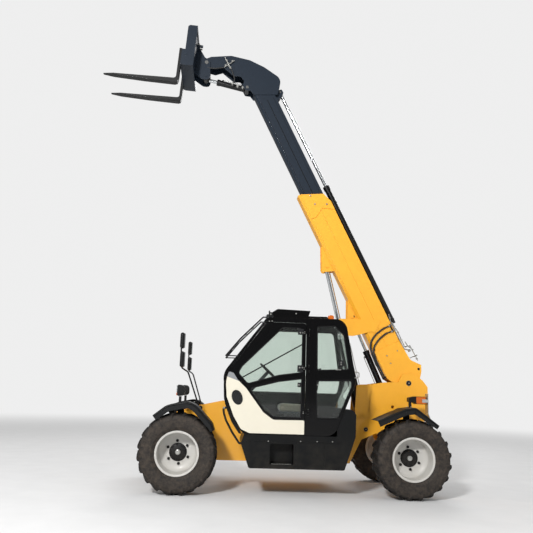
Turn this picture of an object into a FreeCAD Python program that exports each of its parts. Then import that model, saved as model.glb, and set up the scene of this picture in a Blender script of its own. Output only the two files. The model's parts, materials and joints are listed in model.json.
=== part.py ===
"""A telehandler: wheeled chassis, side cab, rear pivoted two-part boom, and shaft-hung forks.

All sizes are in millimetres. X is forward, Y is to the machine's left, Z is up. The model is
drawn about the middle of the wheelbase, on the ground, and moved to the middle of its whole
length when it is written. The boom and the fork carriage are drawn level, about their own
pivots, and then turned to where they stand.
"""
import FreeCAD, Part
import os
from math import atan2, cos, degrees, hypot, pi, radians, sin, sqrt, tan

os.makedirs("parts", exist_ok=True)
V = FreeCAD.Vector

# Whole machine
wheelbase = 3520
length_centre = 571        # middle of the whole length, ahead of the middle of the wheelbase
fit_gap = 0.3              # between pieces that only rest on each other
pin_gap = 0.06             # radial, pin in its bore
move_gap = 6               # between pieces that swing past each other

# Wheels
tyre_diameter = 1175
tyre_width = 405
tread_width = 330
lug_height = 27
lugs_per_row = 16
lug_width = 50
lug_slope = 0.62           # round the tyre for each mm across it
tyre_sides = 28
rim_radius = 326
bead_radius = 304
rim_width = 344
rim_sides = 16
disc_recess = 264          # wheel disc, in from the outer flange
disc_thickness = 18
hub_radius = 133
hub_standout = 26          # hub face past the disc
hub_depth = 44             # behind the disc
hub_sides = 12
rim_plate = 16
flange_rise = 22
dish_rise = 30             # the disc's rim, past its middle
cap_radius = 40
cap_length = 30
pin_sides = 8              # facets of pins, caps, bores and other small rounds
hinge_sides = 6
tube_sides = 12            # facets of cylinder barrels and rods
bend_step = 36             # degrees of a rounded corner to each flat step
spindle_radius = 45
spindle_reach = 70
wheel_centre_y = 922
drawn_axle_z = 587.5       # height of the axles in the drawing of all they carry

# Axles and steering
kingpin_y = 650
kingpin_radius = 28
knuckle_radius = 75
knuckle_half_height = 125
yoke_thickness = 38
yoke_gap = 5
flange_radius = 108        # knuckle flange behind the hub
axle_tube_height = 150
axle_tube_depth = 130
diff_radius = 175
diff_half_width = 95
seat_half_length = 60      # axle seats under the frame plates
fender_plate = 6
fender_inner_y = 697
fender_outer_y = 1125
fender_arm_plate = 12

# Chassis: two long plates with the boom between them
frame_plate = 25
frame_inner_gap = 370
frame_belly_z = 410
frame_deck_z = 1120
frame_axle_z = 760         # underside of the plates over the axles
cross_plate = 20
bay_floor_z = 480
bay_top_z = 1180
bay_back = -850
bay_front = 900
bay_outer_y = -1090
bay_plate = 12
hood_top_z = 1412
hood_hinge_y = -276
skirt_outer_y = 1100
rear_face = -2330
weight_half_width = 395
weight_depth = 150
hood_hinges = (-600, 500)
hinge_radius = 12
hinge_pin_radius = 7
step_depth = 200

# Lamps and mirrors
lamp_x = 1790
rear_arm_x = -1850
lamp_post_y = 630
headlamp_z = 1402
rear_lamp_z = 1423
work_lamp_x = 457
stalk_radius = 12

# Boom, drawn level about its pivot
boom_y = -60
pivot_x = -1969
pivot_z = 1726
boom_angle = 63.6
pivot_pin_radius = 45
outer_width = 300
outer_top = 190
outer_bottom = 290
outer_wall = 10
outer_tail = 250
outer_nose_bottom = 3745
outer_nose_top = 3560
collar_back = 3245
collar_plate = 12
cheek_plate = 20
outer_fold = 45            # lower corners folded in
inner_fold = 35
pad_length = 140
hose_radius = 12
inner_width = 220
inner_top = 138
inner_bottom = 212
inner_wall = 10
inner_tail = 2650
inner_front = 5640
retract_travel = 1850
lift_pin_x = 2377
lift_pin_drop = 365
level_pin_x = 1395
level_pin_drop = 350
bracket_plate = 22
bracket_gap = 124
eye_gap = 0.5              # each side of a rod's eye, which drifts between its plates

# Boom extension cylinder, on top of the boom
ext_axis_height = 268
ext_barrel_radius = 52
ext_bore_radius = 40
ext_rod_radius = 29
ext_barrel_back = 1000
ext_barrel_front = 3720
ext_rod_front = inner_front + 60
ext_eye_half = 30
ext_pin_radius = 20

# Boom head and fork carriage
head_half_width = 110
head_plate = 12
tilt_pin_x = inner_front + 1077
tilt_pin_drop = 764
tilt_pin_radius = 35
tilt_foot_x = inner_front + 350
tilt_foot_drop = 272
tilt_eye_x = -13           # the tilt rod's eye, from the carriage pivot
tilt_eye_z = -268
fork_slope = 3.5
ear_half = 128             # carriage ears, outside the head's plates
ear_plate = 18
carriage_plate = 20
fork_tip_rise = 20
carriage_half_width = 490
carriage_back = 200
carriage_front = 430
fork_spacing = 750
fork_width = 120
fork_thickness = 50
fork_length = 1275
fork_heel_drop = 604
fork_shaft_radius = 32
fork_shaft_x = 350
fork_shaft_z = -57

# Lift and levelling cylinders
lift_foot_x = -1241
lift_foot_z = 955
lift_foot_radius = 36
lift_barrel_radius = 82
lift_rod_radius = 42
lift_pin_radius = 32
lift_eye_radius = 52
level_foot_x = -1690
level_foot_z = 1330
level_barrel_radius = 50
level_rod_radius = 26
level_pin_radius = 25
level_eye_radius = 42
tilt_barrel_radius = 52
tilt_rod_radius = 30
tilt_foot_radius = 28
tilt_eye_radius = 45

# Cab
cab_floor_z = 890
cab_inner_y = 175
cab_outer_y = 1095
cab_side = 42
cab_skin = 30
cab_tube = 34
door_gap = 6
door_tube = 50
glass = 6
panel_plate = 8
door_rear_x = -108
door_top_z = 2560
hinge_x = -158
hinge_y = 1108
door_hinges = (1226, 1878, 2421)
handle_x = 909
handle_z = 1420
handle_tilt = 22
oval_sides = 12
wheel_y = 640              # steering wheel and column
steer_x = 424
steer_z = 1828
steer_radius = 170
steer_tilt = 42
steer_hub = 22             # hub below the steering wheel's rim
column_length = 434
beacon_x = -560
beacon_y = 640

boom_left = boom_y + outer_width / 2
plate_left = boom_y + frame_inner_gap / 2
plate_right = boom_y - frame_inner_gap / 2
axle_x = wheelbase / 2
wheel_z = tyre_diameter / 2
weight_front = rear_face + weight_depth


def box(x0, x1, y0, y1, z0, z1):
    return Part.makeBox(x1 - x0, y1 - y0, z1 - z0, V(x0, y0, z0))


def rod(start, end, radius, sides=pin_sides):
    """A round bar from one point to another, in flat facets with their corners on its radius."""
    a, b = V(*start), V(*end)
    along = (b - a).normalize()
    across = along.cross(V(0, 1, 0))
    if across.Length < 0.1:
        across = along.cross(V(1, 0, 0))
    across.normalize()
    third = along.cross(across)
    step = 2 * pi / sides
    spots = [a + across * (radius * cos(step * k)) + third * (radius * sin(step * k))
             for k in range(sides)]
    return Part.Face(Part.makePolygon(spots + spots[:1])).extrude(b - a)


def bore(start, end, radius, sides=pin_sides):
    """What a round hole takes out: facets whose flats touch its radius, so a bar turns in it."""
    return rod(start, end, radius / cos(pi / sides), sides)


def rod_y(x, z, radius, y0, y1, sides=pin_sides):
    return rod((x, y0, z), (x, y1, z), radius, sides)


def bore_y(x, z, radius, y0, y1, sides=pin_sides):
    return bore((x, y0, z), (x, y1, z), radius, sides)


def seat_y(x, z, radius, y0, y1, sides=pin_sides):
    """What a fixed pin's hole takes out: its own facets, a pin gap larger."""
    return rod((x, y0, z), (x, y1, z), radius + pin_gap, sides)


def fused(*solids):
    return solids[0].multiFuse(list(solids[1:])).removeSplitter()


def group(*solids):
    return Part.makeCompound(list(solids))


def outline(corners, y=0):
    """A closed wire at y. Each corner is (x, z), or (x, z, radius) turned in short flat steps."""
    spots = []
    count = len(corners)
    for i, corner in enumerate(corners):
        here = V(corner[0], y, corner[1])
        radius = corner[2] if len(corner) > 2 else 0
        if not radius:
            spots.append(here)
            continue
        last, after = corners[i - 1], corners[(i + 1) % count]
        back = (V(last[0], y, last[1]) - here).normalize()
        on = (V(after[0], y, after[1]) - here).normalize()
        half = back.getAngle(on) / 2
        turn = pi - 2 * half
        centre = here + (back + on).normalize() * (radius / sin(half))
        start = here + back * (radius / tan(half)) - centre
        side = here + on * (radius / tan(half)) - centre
        steps = max(1, round(turn / radians(bend_step)))
        for k in range(steps + 1):
            part = k / steps
            swept = start * sin((1 - part) * turn) + side * sin(part * turn)
            spots.append(centre + swept / sin(turn))
    return Part.makePolygon(spots + spots[:1])


def plate(corners, y0, y1, holes=()):
    """A flat plate standing fore and aft, from y0 to y1. holes are (x, z, radius)."""
    solid = Part.Face(outline(corners, y0)).extrude(V(0, y1 - y0, 0))
    for x, z, radius in holes:
        solid = solid.cut(bore_y(x, z, radius, y0 - 1, y1 + 1))
    return solid


def both_sides(corners, inner, thickness, holes=(), middle=0):
    """Two like plates, each inner mm out from the middle plane."""
    return [plate(corners, middle + inner, middle + inner + thickness, holes),
            plate(corners, middle - inner - thickness, middle - inner, holes)]


def ring(profile, sides):
    """A faceted ring about the Y axis. profile is a closed list of (radius, y)."""
    turn = sum(a[0] * b[1] - b[0] * a[1] for a, b in zip(profile, profile[1:] + profile[:1]))
    if turn > 0:
        profile = profile[::-1]
    step = 2 * pi / sides
    faces = []
    for k in range(sides):
        a, b = k * step, (k + 1) * step
        for (r0, y0), (r1, y1) in zip(profile, profile[1:] + profile[:1]):
            spots = [V(r0 * cos(a), y0, r0 * sin(a)), V(r1 * cos(a), y1, r1 * sin(a)),
                     V(r1 * cos(b), y1, r1 * sin(b)), V(r0 * cos(b), y0, r0 * sin(b))]
            faces.append(Part.Face(Part.makePolygon(spots + spots[:1])))
    return Part.Solid(Part.Shell(faces))


def prism(radius, sides, y0, y1):
    """A many sided bar about the Y axis, flat sides top and bottom."""
    turn = pi / sides
    spots = [V(radius * sin(turn * (2 * k + 1)), y0, radius * cos(turn * (2 * k + 1)))
             for k in range(sides)]
    return Part.Face(Part.makePolygon(spots + spots[:1])).extrude(V(0, y1 - y0, 0))


def moved(shape, x=0, y=0, z=0):
    copy = shape.copy()
    copy.translate(V(x, y, z))
    return copy


def mirrored(shape):
    return shape.mirror(V(0, 0, 0), V(0, 1, 0))


def turned(shape, angle, x, z):
    """Turned nose up by angle about the line across the machine through (x, z)."""
    copy = shape.copy()
    copy.rotate(V(x, 0, z), V(0, 1, 0), -angle)
    return copy


def on_boom(shape):
    """From the level boom, drawn about its pivot, to where the boom stands."""
    return turned(moved(shape, pivot_x, boom_y, pivot_z), boom_angle, pivot_x, pivot_z)


def boom_point(x, z):
    """Where a point of the level boom stands in the machine."""
    c, s = cos(radians(boom_angle)), sin(radians(boom_angle))
    return pivot_x + x * c - z * s, pivot_z + x * s + z * c


def on_carriage(shape):
    """From the level carriage, drawn about its pivot, to where it stands on the boom head."""
    x, z = boom_point(tilt_pin_x, -tilt_pin_drop)
    return turned(moved(shape, x, boom_y, z), fork_slope, x, z)


def carriage_point(x, z):
    px, pz = boom_point(tilt_pin_x, -tilt_pin_drop)
    c, s = cos(radians(fork_slope)), sin(radians(fork_slope))
    return px + x * c - z * s, pz + x * s + z * c


def save(node, shape):
    moved(shape, -length_centre).exportStep("parts/%s.step" % node)


def save_carried(node, shape):
    """A piece that the axles carry rises with them when the tyres' size changes."""
    save(node, moved(shape, 0, 0, wheel_z - drawn_axle_z))


def sections(profile, x0, x1):
    """A plate across the machine, drawn in (y, z), from x0 to x1."""
    wire = Part.makePolygon([V(x0, y, z) for y, z in profile + profile[:1]])
    return Part.Face(wire).extrude(V(x1 - x0, 0, 0))


def box_beam(profile, wall, x0, x1):
    """A welded box beam, drawn in (y, z), open at both ends."""
    wire = Part.makePolygon([V(x0, y, z) for y, z in profile + profile[:1]])
    outer = Part.Face(wire)
    inner = outer.makeOffset2D(-wall, 2)
    return outer.cut(inner).extrude(V(x1 - x0, 0, 0))


def rail(points, radius, sides=4):
    """Thin bars end to end, each run a little over its corner."""
    runs = []
    for start, end in zip(points, points[1:]):
        over = (V(*end) - V(*start)).normalize() * (radius * 0.6)
        runs.append(rod(V(*start) - over, V(*end) + over, radius, sides))
    return fused(*runs) if len(runs) > 1 else runs[0]


def hose(points, y, radius, sides=5):
    """A hose in a plane fore and aft, mitred from run to run."""
    path = [V(x, y, z) for x, z in points]
    rings = []
    for i, spot in enumerate(path):
        before = (spot - path[i - 1]).normalize() if i else None
        beyond = (path[i + 1] - spot).normalize() if i + 1 < len(path) else None
        along = ((before or beyond) + (beyond or before)).normalize()
        stretch = 1 / cos((before or beyond).getAngle(beyond or before) / 2)
        side = along.cross(V(0, 1, 0)) * (radius * stretch)
        rings.append([spot + side * cos(2 * pi * k / sides) + V(0, radius * sin(2 * pi * k / sides), 0)
                      for k in range(sides)])
    faces = [Part.Face(Part.makePolygon(rings[0] + rings[0][:1])),
             Part.Face(Part.makePolygon(rings[-1] + rings[-1][:1]))]
    for one, two in zip(rings, rings[1:]):
        for k in range(sides):
            m = (k + 1) % sides
            faces.append(Part.Face(Part.makePolygon([one[k], one[m], two[m], two[k], one[k]])))
    shell = Part.Shell(faces)
    solid = Part.Solid(shell)
    return solid if solid.Volume > 0 else solid.reversed()


# Wheels and axles

def tyre():
    """Polygon carcass with two staggered rows of slanted lugs, about its own centre."""
    half, tread = tyre_width / 2, tread_width / 2
    crown = tyre_diameter / 2 - lug_height
    bead = (bead_radius + fit_gap) / cos(pi / tyre_sides)
    side = [(bead, tread / 2 + 64), (440, half), (crown, tread)]
    carcass = ring(side + [(r, -y) for r, y in reversed(side)], tyre_sides)
    top = sqrt((tyre_diameter / 2) ** 2 - (lug_slope * tread / 2 + lug_width / 2) ** 2)
    lug_edge = [(4, crown - 14), (4, top), (tread, top - 4), (half - 1, crown - 40)]
    lugs = []
    for row in (1, -1):
        for k in range(lugs_per_row):
            ends = []
            for side_step in (-0.5, 0.5):
                ends.append([V(lug_slope * (y - tread / 2) + side_step * lug_width, row * y, r)
                             for y, r in lug_edge])
            lug = Part.makeLoft([Part.makePolygon(e + e[:1]) for e in ends], True, True)
            angle = 360 * (k + (0.25 if row > 0 else 0.75)) / lugs_per_row
            lug.rotate(V(0, 0, 0), V(0, 1, 0), angle)
            lugs.append(lug)
    return carcass.multiFuse(lugs)


def wheel():
    """Deep dished rim with its disc and planetary hub, about its own centre, outer side +Y."""
    half = rim_width / 2
    disc_out = half - disc_recess
    disc_in = disc_out - disc_thickness
    well = bead_radius - rim_plate
    rim = ring([(rim_radius, half), (bead_radius, half - flange_rise),
                (bead_radius, flange_rise - half), (rim_radius, -half), (well, -half),
                (well, disc_in), (hub_radius - 10, disc_in), (hub_radius - 10, disc_out),
                (well, disc_out + dish_rise), (well, half)], rim_sides)
    hub_in, hub_out = disc_in - hub_depth, disc_out + hub_standout
    hub = prism(hub_radius, hub_sides, hub_in, hub_out)
    cap = prism(cap_radius, hinge_sides, hub_out, hub_out + cap_length)
    seat = bore_y(0, 0, spindle_radius + pin_gap, hub_in, hub_in + spindle_reach)
    return fused(rim, hub, cap).cut(seat)


def upright(shape):
    """Turns a piece drawn about the Y axis to stand about the Z axis."""
    copy = shape.copy()
    copy.rotate(V(0, 0, 0), V(1, 0, 0), 90)
    return copy


def knuckle():
    """Steering knuckle for the left side, kingpin on the origin, with its wheel spindle."""
    out = wheel_centre_y - kingpin_y
    hub_in = out + rim_width / 2 - disc_recess - disc_thickness - hub_depth
    post = upright(prism(knuckle_radius, 8, -knuckle_half_height, knuckle_half_height))
    reach = knuckle_half_height + yoke_gap + yoke_thickness + 6
    pin = upright(prism(kingpin_radius, pin_sides, -reach, reach))
    flange = prism(flange_radius, pin_sides, 0, hub_in - yoke_gap)
    spindle = prism(spindle_radius, pin_sides, hub_in - 10, hub_in + spindle_reach - 4)
    return fused(post, pin, flange, spindle)


def axle():
    """Beam axle with a central drive housing and a yoke at each end, about its own centre."""
    end = kingpin_y - knuckle_radius - move_gap
    tube = box(-axle_tube_depth / 2, axle_tube_depth / 2, -end, end,
               -axle_tube_height / 2, axle_tube_height / 2)
    housing = prism(diff_radius, 8, -diff_half_width, diff_half_width)
    low = knuckle_half_height + yoke_gap
    pieces = [tube, moved(housing, 0, boom_y)]
    for middle in (plate_left + frame_plate / 2, plate_right - frame_plate / 2):
        pieces.append(box(-seat_half_length, seat_half_length, middle - frame_plate,
                          middle + frame_plate, 0, frame_axle_z - drawn_axle_z))
    eye = [V(-38, end - 5, 0), V(-38, kingpin_y + 16, 0), V(-14, kingpin_y + 39, 0),
           V(14, kingpin_y + 39, 0), V(38, kingpin_y + 16, 0), V(38, end - 5, 0)]
    jaw = Part.Face(Part.makePolygon(eye + eye[:1])).extrude(V(0, 0, yoke_thickness))
    hole = bore((0, kingpin_y, -300), (0, kingpin_y, 300), kingpin_radius + pin_gap)
    for side in (1, -1):
        yoke = box(-60, 60, end - 45, end, -low - yoke_thickness, low + yoke_thickness)
        for z in (low, -low - yoke_thickness):
            yoke = yoke.fuse(moved(jaw, 0, 0, z))
        yoke = yoke.cut(hole)
        pieces.append(yoke if side > 0 else mirrored(yoke))
    return fused(*pieces)


def save_wheels():
    tyre_shape, wheel_shape, knuckle_shape = tyre(), wheel(), knuckle()
    # end name, axle position, fender's top line round the tyre (degrees up from the front,
    # clearance past the tread, bend radius)
    ends = (("f", axle_x, ((54.38, 71.8), (74.6, 128.2, 260), (103.86, 205.6, 260), (138.65, 78.5, 120),
                           (147.18, 49.1))),
            ("r", -axle_x, ((45.16, 193.9), (80.04, 163.8, 60), (93, 175.5, 60), (127.6, 55))))
    for end, x, turns in ends:
        line = []
        for turn, clear, *bend in turns:
            out = tyre_diameter / 2 + clear
            line.append((out * cos(radians(turn)), out * sin(radians(turn)), *bend))
        under = [(px[0] * 0.985, px[1] - fender_plate * 1.6) + px[2:] for px in reversed(line)]
        skin = plate(list(line) + under, fender_inner_y, fender_outer_y)
        above = under + [(900, line[0][1]), (900, 2000), (-900, 2000), (-900, line[-1][1])]
        arm = plate(((-60, 0), (60, 0), (45, 900), (-45, 900)), fender_inner_y,
                    fender_inner_y + fender_arm_plate).cut(plate(above, 0, 2000))
        carrier = fused(moved(knuckle_shape, 0, kingpin_y), arm)
        for side, sign in (("l", 1), ("r", -1)):
            for name, shape in (("tyre", moved(tyre_shape, 0, wheel_centre_y)),
                                ("wheel", moved(wheel_shape, 0, wheel_centre_y)),
                                ("knuckle", carrier), ("fender", skin)):
                sided = shape if sign > 0 else mirrored(shape)
                save(name + "_" + end + side, moved(sided, x, 0, wheel_z))
    save("front_axle", moved(axle(), axle_x, 0, wheel_z))
    save("rear_axle", moved(axle(), -axle_x, 0, wheel_z))


# Chassis

def between_plates(x0, x1, z0, z1):
    """A cross member that fills the frame from plate to plate."""
    return box(x0, x1, plate_right, plate_left, z0, z1)


def frame_line():
    """Side outline of the frame: nose, deck, boom tower, arches over the axles, belly."""
    tower = [(-1300, 1500), (-1360, 1694), (-1559, 1727), (-1800, 1740), (-1860, 1870, 60),
             (-2060, 1890, 60), (-2210, 1775), (-2290, 1672), (-2293, 1500)]
    rear = [(-2293, 1110), (weight_front, 1110), (weight_front, frame_axle_z),
            (-1480, frame_axle_z), (-1421, 900), (-1168, 790)]
    belly = [(-973, frame_belly_z), (1187, frame_belly_z), (1350, 640), (1400, frame_axle_z)]
    nose = [(2080, frame_axle_z), (2080, 1000), (1900, 1130), (1593, 1238), (1117, 1344),
            (1115, frame_deck_z), (-1100, frame_deck_z)]
    return nose + tower + rear + belly


def chassis_frame():
    """Two long plates joined by cross members, with the lamp arms and the lower fork lugs."""
    sides = both_sides(frame_line(), frame_inner_gap / 2, frame_plate, (), boom_y)
    under, over = frame_belly_z, frame_axle_z
    cross = [between_plates(-950, 1180, under, under + cross_plate),
             between_plates(1160, 1180, under, over + cross_plate),
             between_plates(-960, -940, under, 790),
             between_plates(1160, 2080, over, over + cross_plate),
             between_plates(2060, 2080, over, 1000),
             between_plates(weight_front, -1480, over, over + cross_plate),
             between_plates(weight_front, weight_front + cross_plate, over, 1110),
             between_plates(-2293, -2273, 1110, 1500)]
    cover = plate(((1560, 1120), (1880, 1060), (2080, 985), (2080, 997), (1884, 1072), (1564, 1132)),
                  plate_right, plate_left)
    shelf = between_plates(level_foot_x - 100, level_foot_x + 100, 1180, 1200)
    top = level_foot_z + 42
    lug = ((level_foot_x - 70, 1195), (level_foot_x + 70, 1195), (level_foot_x + 45, top, 40),
           (level_foot_x - 45, top, 40))
    lugs = both_sides(lug, bracket_gap / 2, bracket_plate, (), boom_y)
    reach = frame_inner_gap / 2 + frame_plate + 1
    seats = [seat_y(x, z, radius, boom_y - reach, boom_y + reach)
             for x, z, radius in ((pivot_x, pivot_z, pivot_pin_radius),
                                  (lift_foot_x, lift_foot_z, lift_foot_radius),
                                  (level_foot_x, level_foot_z, level_pin_radius))]
    return fused(*sides, *cross, cover, shelf, *lugs).cut(group(*seats))


def lamp_arms():
    """Arms off the frame plates that carry the lamps, inside the sweep of the fenders."""
    arms = []
    for side, near in ((1, plate_left + frame_plate), (-1, plate_right - frame_plate)):
        for x, z, post_top in ((lamp_x, 1130, headlamp_z), (rear_arm_x, 1300, rear_lamp_z)):
            y0, y1 = sorted((near + side * fit_gap, side * lamp_post_y))
            arm = box(x - 20, x + 20, y0, y1, z - 20, z + 20)
            y0, y1 = sorted((side * (lamp_post_y - 40), side * lamp_post_y))
            arms.append(arm.fuse(box(x - 20, x + 20, y0, y1, z - 20, post_top)).removeSplitter())
    return group(*arms)


def counterweight():
    """Cast block bolted to the back of the frame, its lower edges cut away."""
    line = ((weight_front, 700), (weight_front, 1100), (rear_face + 20, 1100, 30), (rear_face, 820),
            (rear_face + 60, 700))
    block = plate(line, -weight_half_width, weight_half_width)
    for side in (1, -1):
        edge = side * weight_half_width
        corner = Part.makePolygon([V(rear_face - 5, edge, 600), V(rear_face - 5, edge - side * 90, 600),
                                   V(rear_face + 90, edge, 600), V(rear_face - 5, edge, 600)])
        block = block.cut(Part.Face(corner).extrude(V(0, 0, 600)))
    return block


def side_skirt():
    """Tank and step housing under the cab, with its step let in."""
    line = ((831, 764, 20), (704, 411, 30), (-714, 411, 30), (-879, 891), (-888, 1217, 20),
            (-836, 1287, 20), (-560, 1287), (-400, 960), (760, 960))
    body = plate(line, plate_left + frame_plate + fit_gap, skirt_outer_y)
    body = body.cut(cab_slab(-fit_gap, 0, skirt_outer_y + 1))
    body = body.cut(box(-600, 1100, 0, skirt_outer_y + 1, cab_floor_z - fit_gap, 1400))
    step = plate(((46, 459, 20), (46, 767, 20), (398, 767, 20), (398, 459, 20)),
                 skirt_outer_y - step_depth, skirt_outer_y + 1)
    tread = box(47, 397, skirt_outer_y - step_depth, skirt_outer_y - 8, 459, 475)
    return body.cut(step).fuse(tread)


def engine_bay():
    """Open topped tub on the right of the frame, with a slotted side."""
    inner = plate_right - frame_plate - fit_gap
    outer = [(inner, bay_floor_z), (inner, bay_top_z), (bay_outer_y, bay_top_z),
             (bay_outer_y, bay_floor_z + 80), (bay_outer_y + 80, bay_floor_z)]
    tub = sections(outer, bay_back, bay_front)
    hollow = [(inner + 1, bay_floor_z + bay_plate), (inner + 1, bay_top_z + 1),
              (bay_outer_y + bay_plate, bay_top_z + 1), (bay_outer_y + bay_plate, bay_floor_z + 85),
              (bay_outer_y + 85, bay_floor_z + bay_plate)]
    tub = tub.cut(sections(hollow, bay_back + bay_plate, bay_front - bay_plate))
    wall = box(bay_back, bay_front, inner - bay_plate, inner, bay_floor_z, hood_top_z - 18)
    slots = [box(x, x + 60, bay_outer_y - 1, bay_outer_y + bay_plate + 1, 640, 1060)
             for x in range(-560, 600, 190)]
    return fused(tub, wall).cut(group(*slots))


def engine_hood():
    """Lid over the engine: flat top, sloped shoulder, closed ends, hinged beside the boom."""
    inner, low = hood_hinge_y - hinge_pin_radius - move_gap, bay_top_z + move_gap
    shoulder_y, shoulder_z = bay_outer_y + 185, hood_top_z - 150
    t = bay_plate
    skin = [(inner, hood_top_z), (shoulder_y, hood_top_z), (bay_outer_y, shoulder_z),
            (bay_outer_y, low), (bay_outer_y + t, low), (bay_outer_y + t, shoulder_z - 6),
            (shoulder_y + 5, hood_top_z - t), (inner, hood_top_z - t)]
    end = [(inner - t, low), (inner - t, hood_top_z - t), (shoulder_y + 5, hood_top_z - t),
           (bay_outer_y + t, shoulder_z - 6), (bay_outer_y + t, low)]
    pieces = [sections(skin, bay_back, bay_front), sections(end, bay_back, bay_back + t),
              sections(end, bay_front - t, bay_front)]
    lid = fused(*pieces)
    for x in hood_hinges:
        sleeve = rod((x, hood_hinge_y, hood_top_z), (x + 80, hood_hinge_y, hood_top_z),
                     hinge_radius, hinge_sides)
        leaf = box(x, x + 80, inner - 30, hood_hinge_y, hood_top_z - 4, hood_top_z)
        lid = lid.fuse(sleeve.fuse(leaf))
        lid = lid.cut(bore((x - 1, hood_hinge_y, hood_top_z), (x + 81, hood_hinge_y, hood_top_z),
                           hinge_pin_radius + pin_gap, hinge_sides))
    return lid


def hood_hinge_pins():
    """Pins on stands off the bay's wall, one through each barrel of the hood."""
    pieces = []
    top = hood_top_z - 18
    for x in hood_hinges:
        pin = rod((x - 26, hood_hinge_y, hood_top_z), (x + 106, hood_hinge_y, hood_top_z),
                  hinge_pin_radius, hinge_sides)
        stands = [box(a, a + 20, hood_hinge_y - 6, hood_hinge_y + 6, top - 20, hood_top_z + 6)
                  for a in (x - 26, x + 86)]
        pieces.append(fused(pin, *stands))
    return pieces


def pivot_pins():
    """Main boom pin, and the foot pins of the lift and levelling cylinders."""
    reach = frame_inner_gap / 2 + frame_plate + 6
    main = rod_y(pivot_x, pivot_z, pivot_pin_radius, boom_y - reach, boom_y + reach)
    foot = rod_y(lift_foot_x, lift_foot_z, lift_foot_radius, boom_y - reach, boom_y + reach)
    reach = bracket_gap / 2 + bracket_plate + 6
    level = rod_y(level_foot_x, level_foot_z, level_pin_radius, boom_y - reach, boom_y + reach)
    return group(main, foot, level)


def lamps():
    """Headlamps on their posts, rear lamp units, and the work lamp over the windscreen."""
    pieces = []
    for side in (1, -1):
        y0, y1 = sorted((side * (lamp_post_y - 130), side * (lamp_post_y + 10)))
        pieces.append(box(lamp_x - 65, lamp_x + 65, y0, y1, headlamp_z, headlamp_z + 180))
        near, z = rear_arm_x + 22, rear_lamp_z
        line = ((near, z), (near, z + 70), (-1935, z + 92), (-2110, z + 92), (-2110, z - 28),
                (-1935, z - 28), (-1900, z))
        pieces.append(plate(line, y0, y1))
    lamp = box(work_lamp_x - 35, work_lamp_x + 35, 560, 660, 2665, 2735)
    stem = box(work_lamp_x - 20, work_lamp_x - 10, 600, 620, 2640.7, 2666)
    pieces.append(lamp.fuse(stem))
    return group(*pieces)


def lamp_guards():
    """Bright guard plates behind the rear lamps, each on a strap along its lamp."""
    pieces = []
    for side in (1, -1):
        outer = side * (lamp_post_y + 10)
        y0, y1 = sorted((outer, outer - side * 140))
        guard = plate(((-2131, 1562, 8), (-2131, 1250), (-2170, 1158, 8), (-2182, 1158), (-2143, 1250),
                       (-2143, 1562)), y0, y1)
        y0, y1 = sorted((outer, outer + side * 6))
        strap = box(-2143, -2040, y0, y1, rear_lamp_z, rear_lamp_z + 50)
        pieces.append(fused(guard, strap))
    return group(*pieces)


def mirrors():
    """Stalks off the frame, up and out past the fenders, with a glass head on each."""
    pieces = []
    for side, near in ((1, plate_left + frame_plate), (-1, plate_right - frame_plate)):
        start = abs(near) + stalk_radius * 0.6 + fit_gap
        points = [(1490, start, 1225), (1490, 480, 1225), (1685, 700, 1779), (1784, 880, 1839),
                  (1800, 950, 2330)]
        stalk = rail([(x, side * y, z) for x, y, z in points], stalk_radius)
        heads = []
        for x, y, z in ((1795, 950, 2243), (1788, 900, 1960)):
            y0, y1 = sorted((side * (y - 85), side * (y + 85)))
            heads.append(box(x - 55, x + 15, y0, y1, z - 120, z + 120))
        pieces.append(fused(stalk, *heads))
    return group(*pieces)


# Boom, drawn level about its pivot

def folded(half, top, bottom, fold):
    """Section of a boom part (y, z): a box whose lower corners are folded in."""
    return [(-half, top), (-half, bottom + fold), (-half + fold, bottom), (half - fold, bottom),
            (half, bottom + fold), (half, top)]


def boom_outer():
    """Outer boom: folded box, slanted nose collar, tail plates about the pivot, pin brackets."""
    half = outer_width / 2
    nose = ((outer_tail, -outer_bottom - 1), (outer_nose_bottom, -outer_bottom - 1),
            (outer_nose_bottom, -outer_bottom), (3579, 128), (3404, outer_top),
            (3404, outer_top + 1), (outer_tail, outer_top + 1))
    beam = box_beam(folded(half, outer_top, -outer_bottom, outer_fold), outer_wall, outer_tail,
                    outer_nose_bottom).common(plate(nose, -half - 1, half + 1))
    collar = ((3248, -264), (3245, -184), (3357, -5), (collar_back, outer_top), (3404, outer_top),
              (3579, 128), (3730, -252), (3640, -252))
    cheek = ((700, outer_top - 5), (331, 215, 60), (178, 346), (80, 300), (-60, 190, 60), (-120, 60, 60),
             (-120, -60, 60), (-60, -120), (217, -290), (700, -285))
    pieces = [beam] + both_sides(collar, half, collar_plate)
    pieces += both_sides(cheek, half, cheek_plate, ((135, 275, 22),))
    pieces.append(rod_y(0, 0, pivot_pin_radius + 30, -half, half))
    lift = ((2769, -288), (2369, -473, 30), (2316, -477, 30), (2248, -288))
    pieces += both_sides(lift, bracket_gap / 2, bracket_plate)
    level = ((1714, -288), (1406, -441, 30), (1360, -441, 30), (1270, -288))
    pieces += both_sides(level, bracket_gap / 2, bracket_plate)
    out = bracket_gap / 2 + bracket_plate
    for x, drop, radius in ((lift_pin_x, lift_pin_drop, lift_pin_radius),
                            (level_pin_x, level_pin_drop, level_pin_radius)):
        pieces.append(rod_y(x, -drop, radius, out - 2, out + 10))
        pieces.append(rod_y(x, -drop, radius, -out - 10, -out + 2))
    horn = ((1145, 59), (1473, -608, 30), (1195, -667), (1098, -503, 60), (1033, -171), (988, -136))
    pieces.append(plate(horn, half, half + collar_plate))
    rests = [box(x, x + 30, -60, 60, outer_top - 5, ext_axis_height - ext_barrel_radius - fit_gap)
             for x in (ext_barrel_back + 60, 3365)]
    pieces += rests
    return fused(*pieces).cut(bore_y(0, 0, pivot_pin_radius + pin_gap, -half - 30, half + 30))


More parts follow.
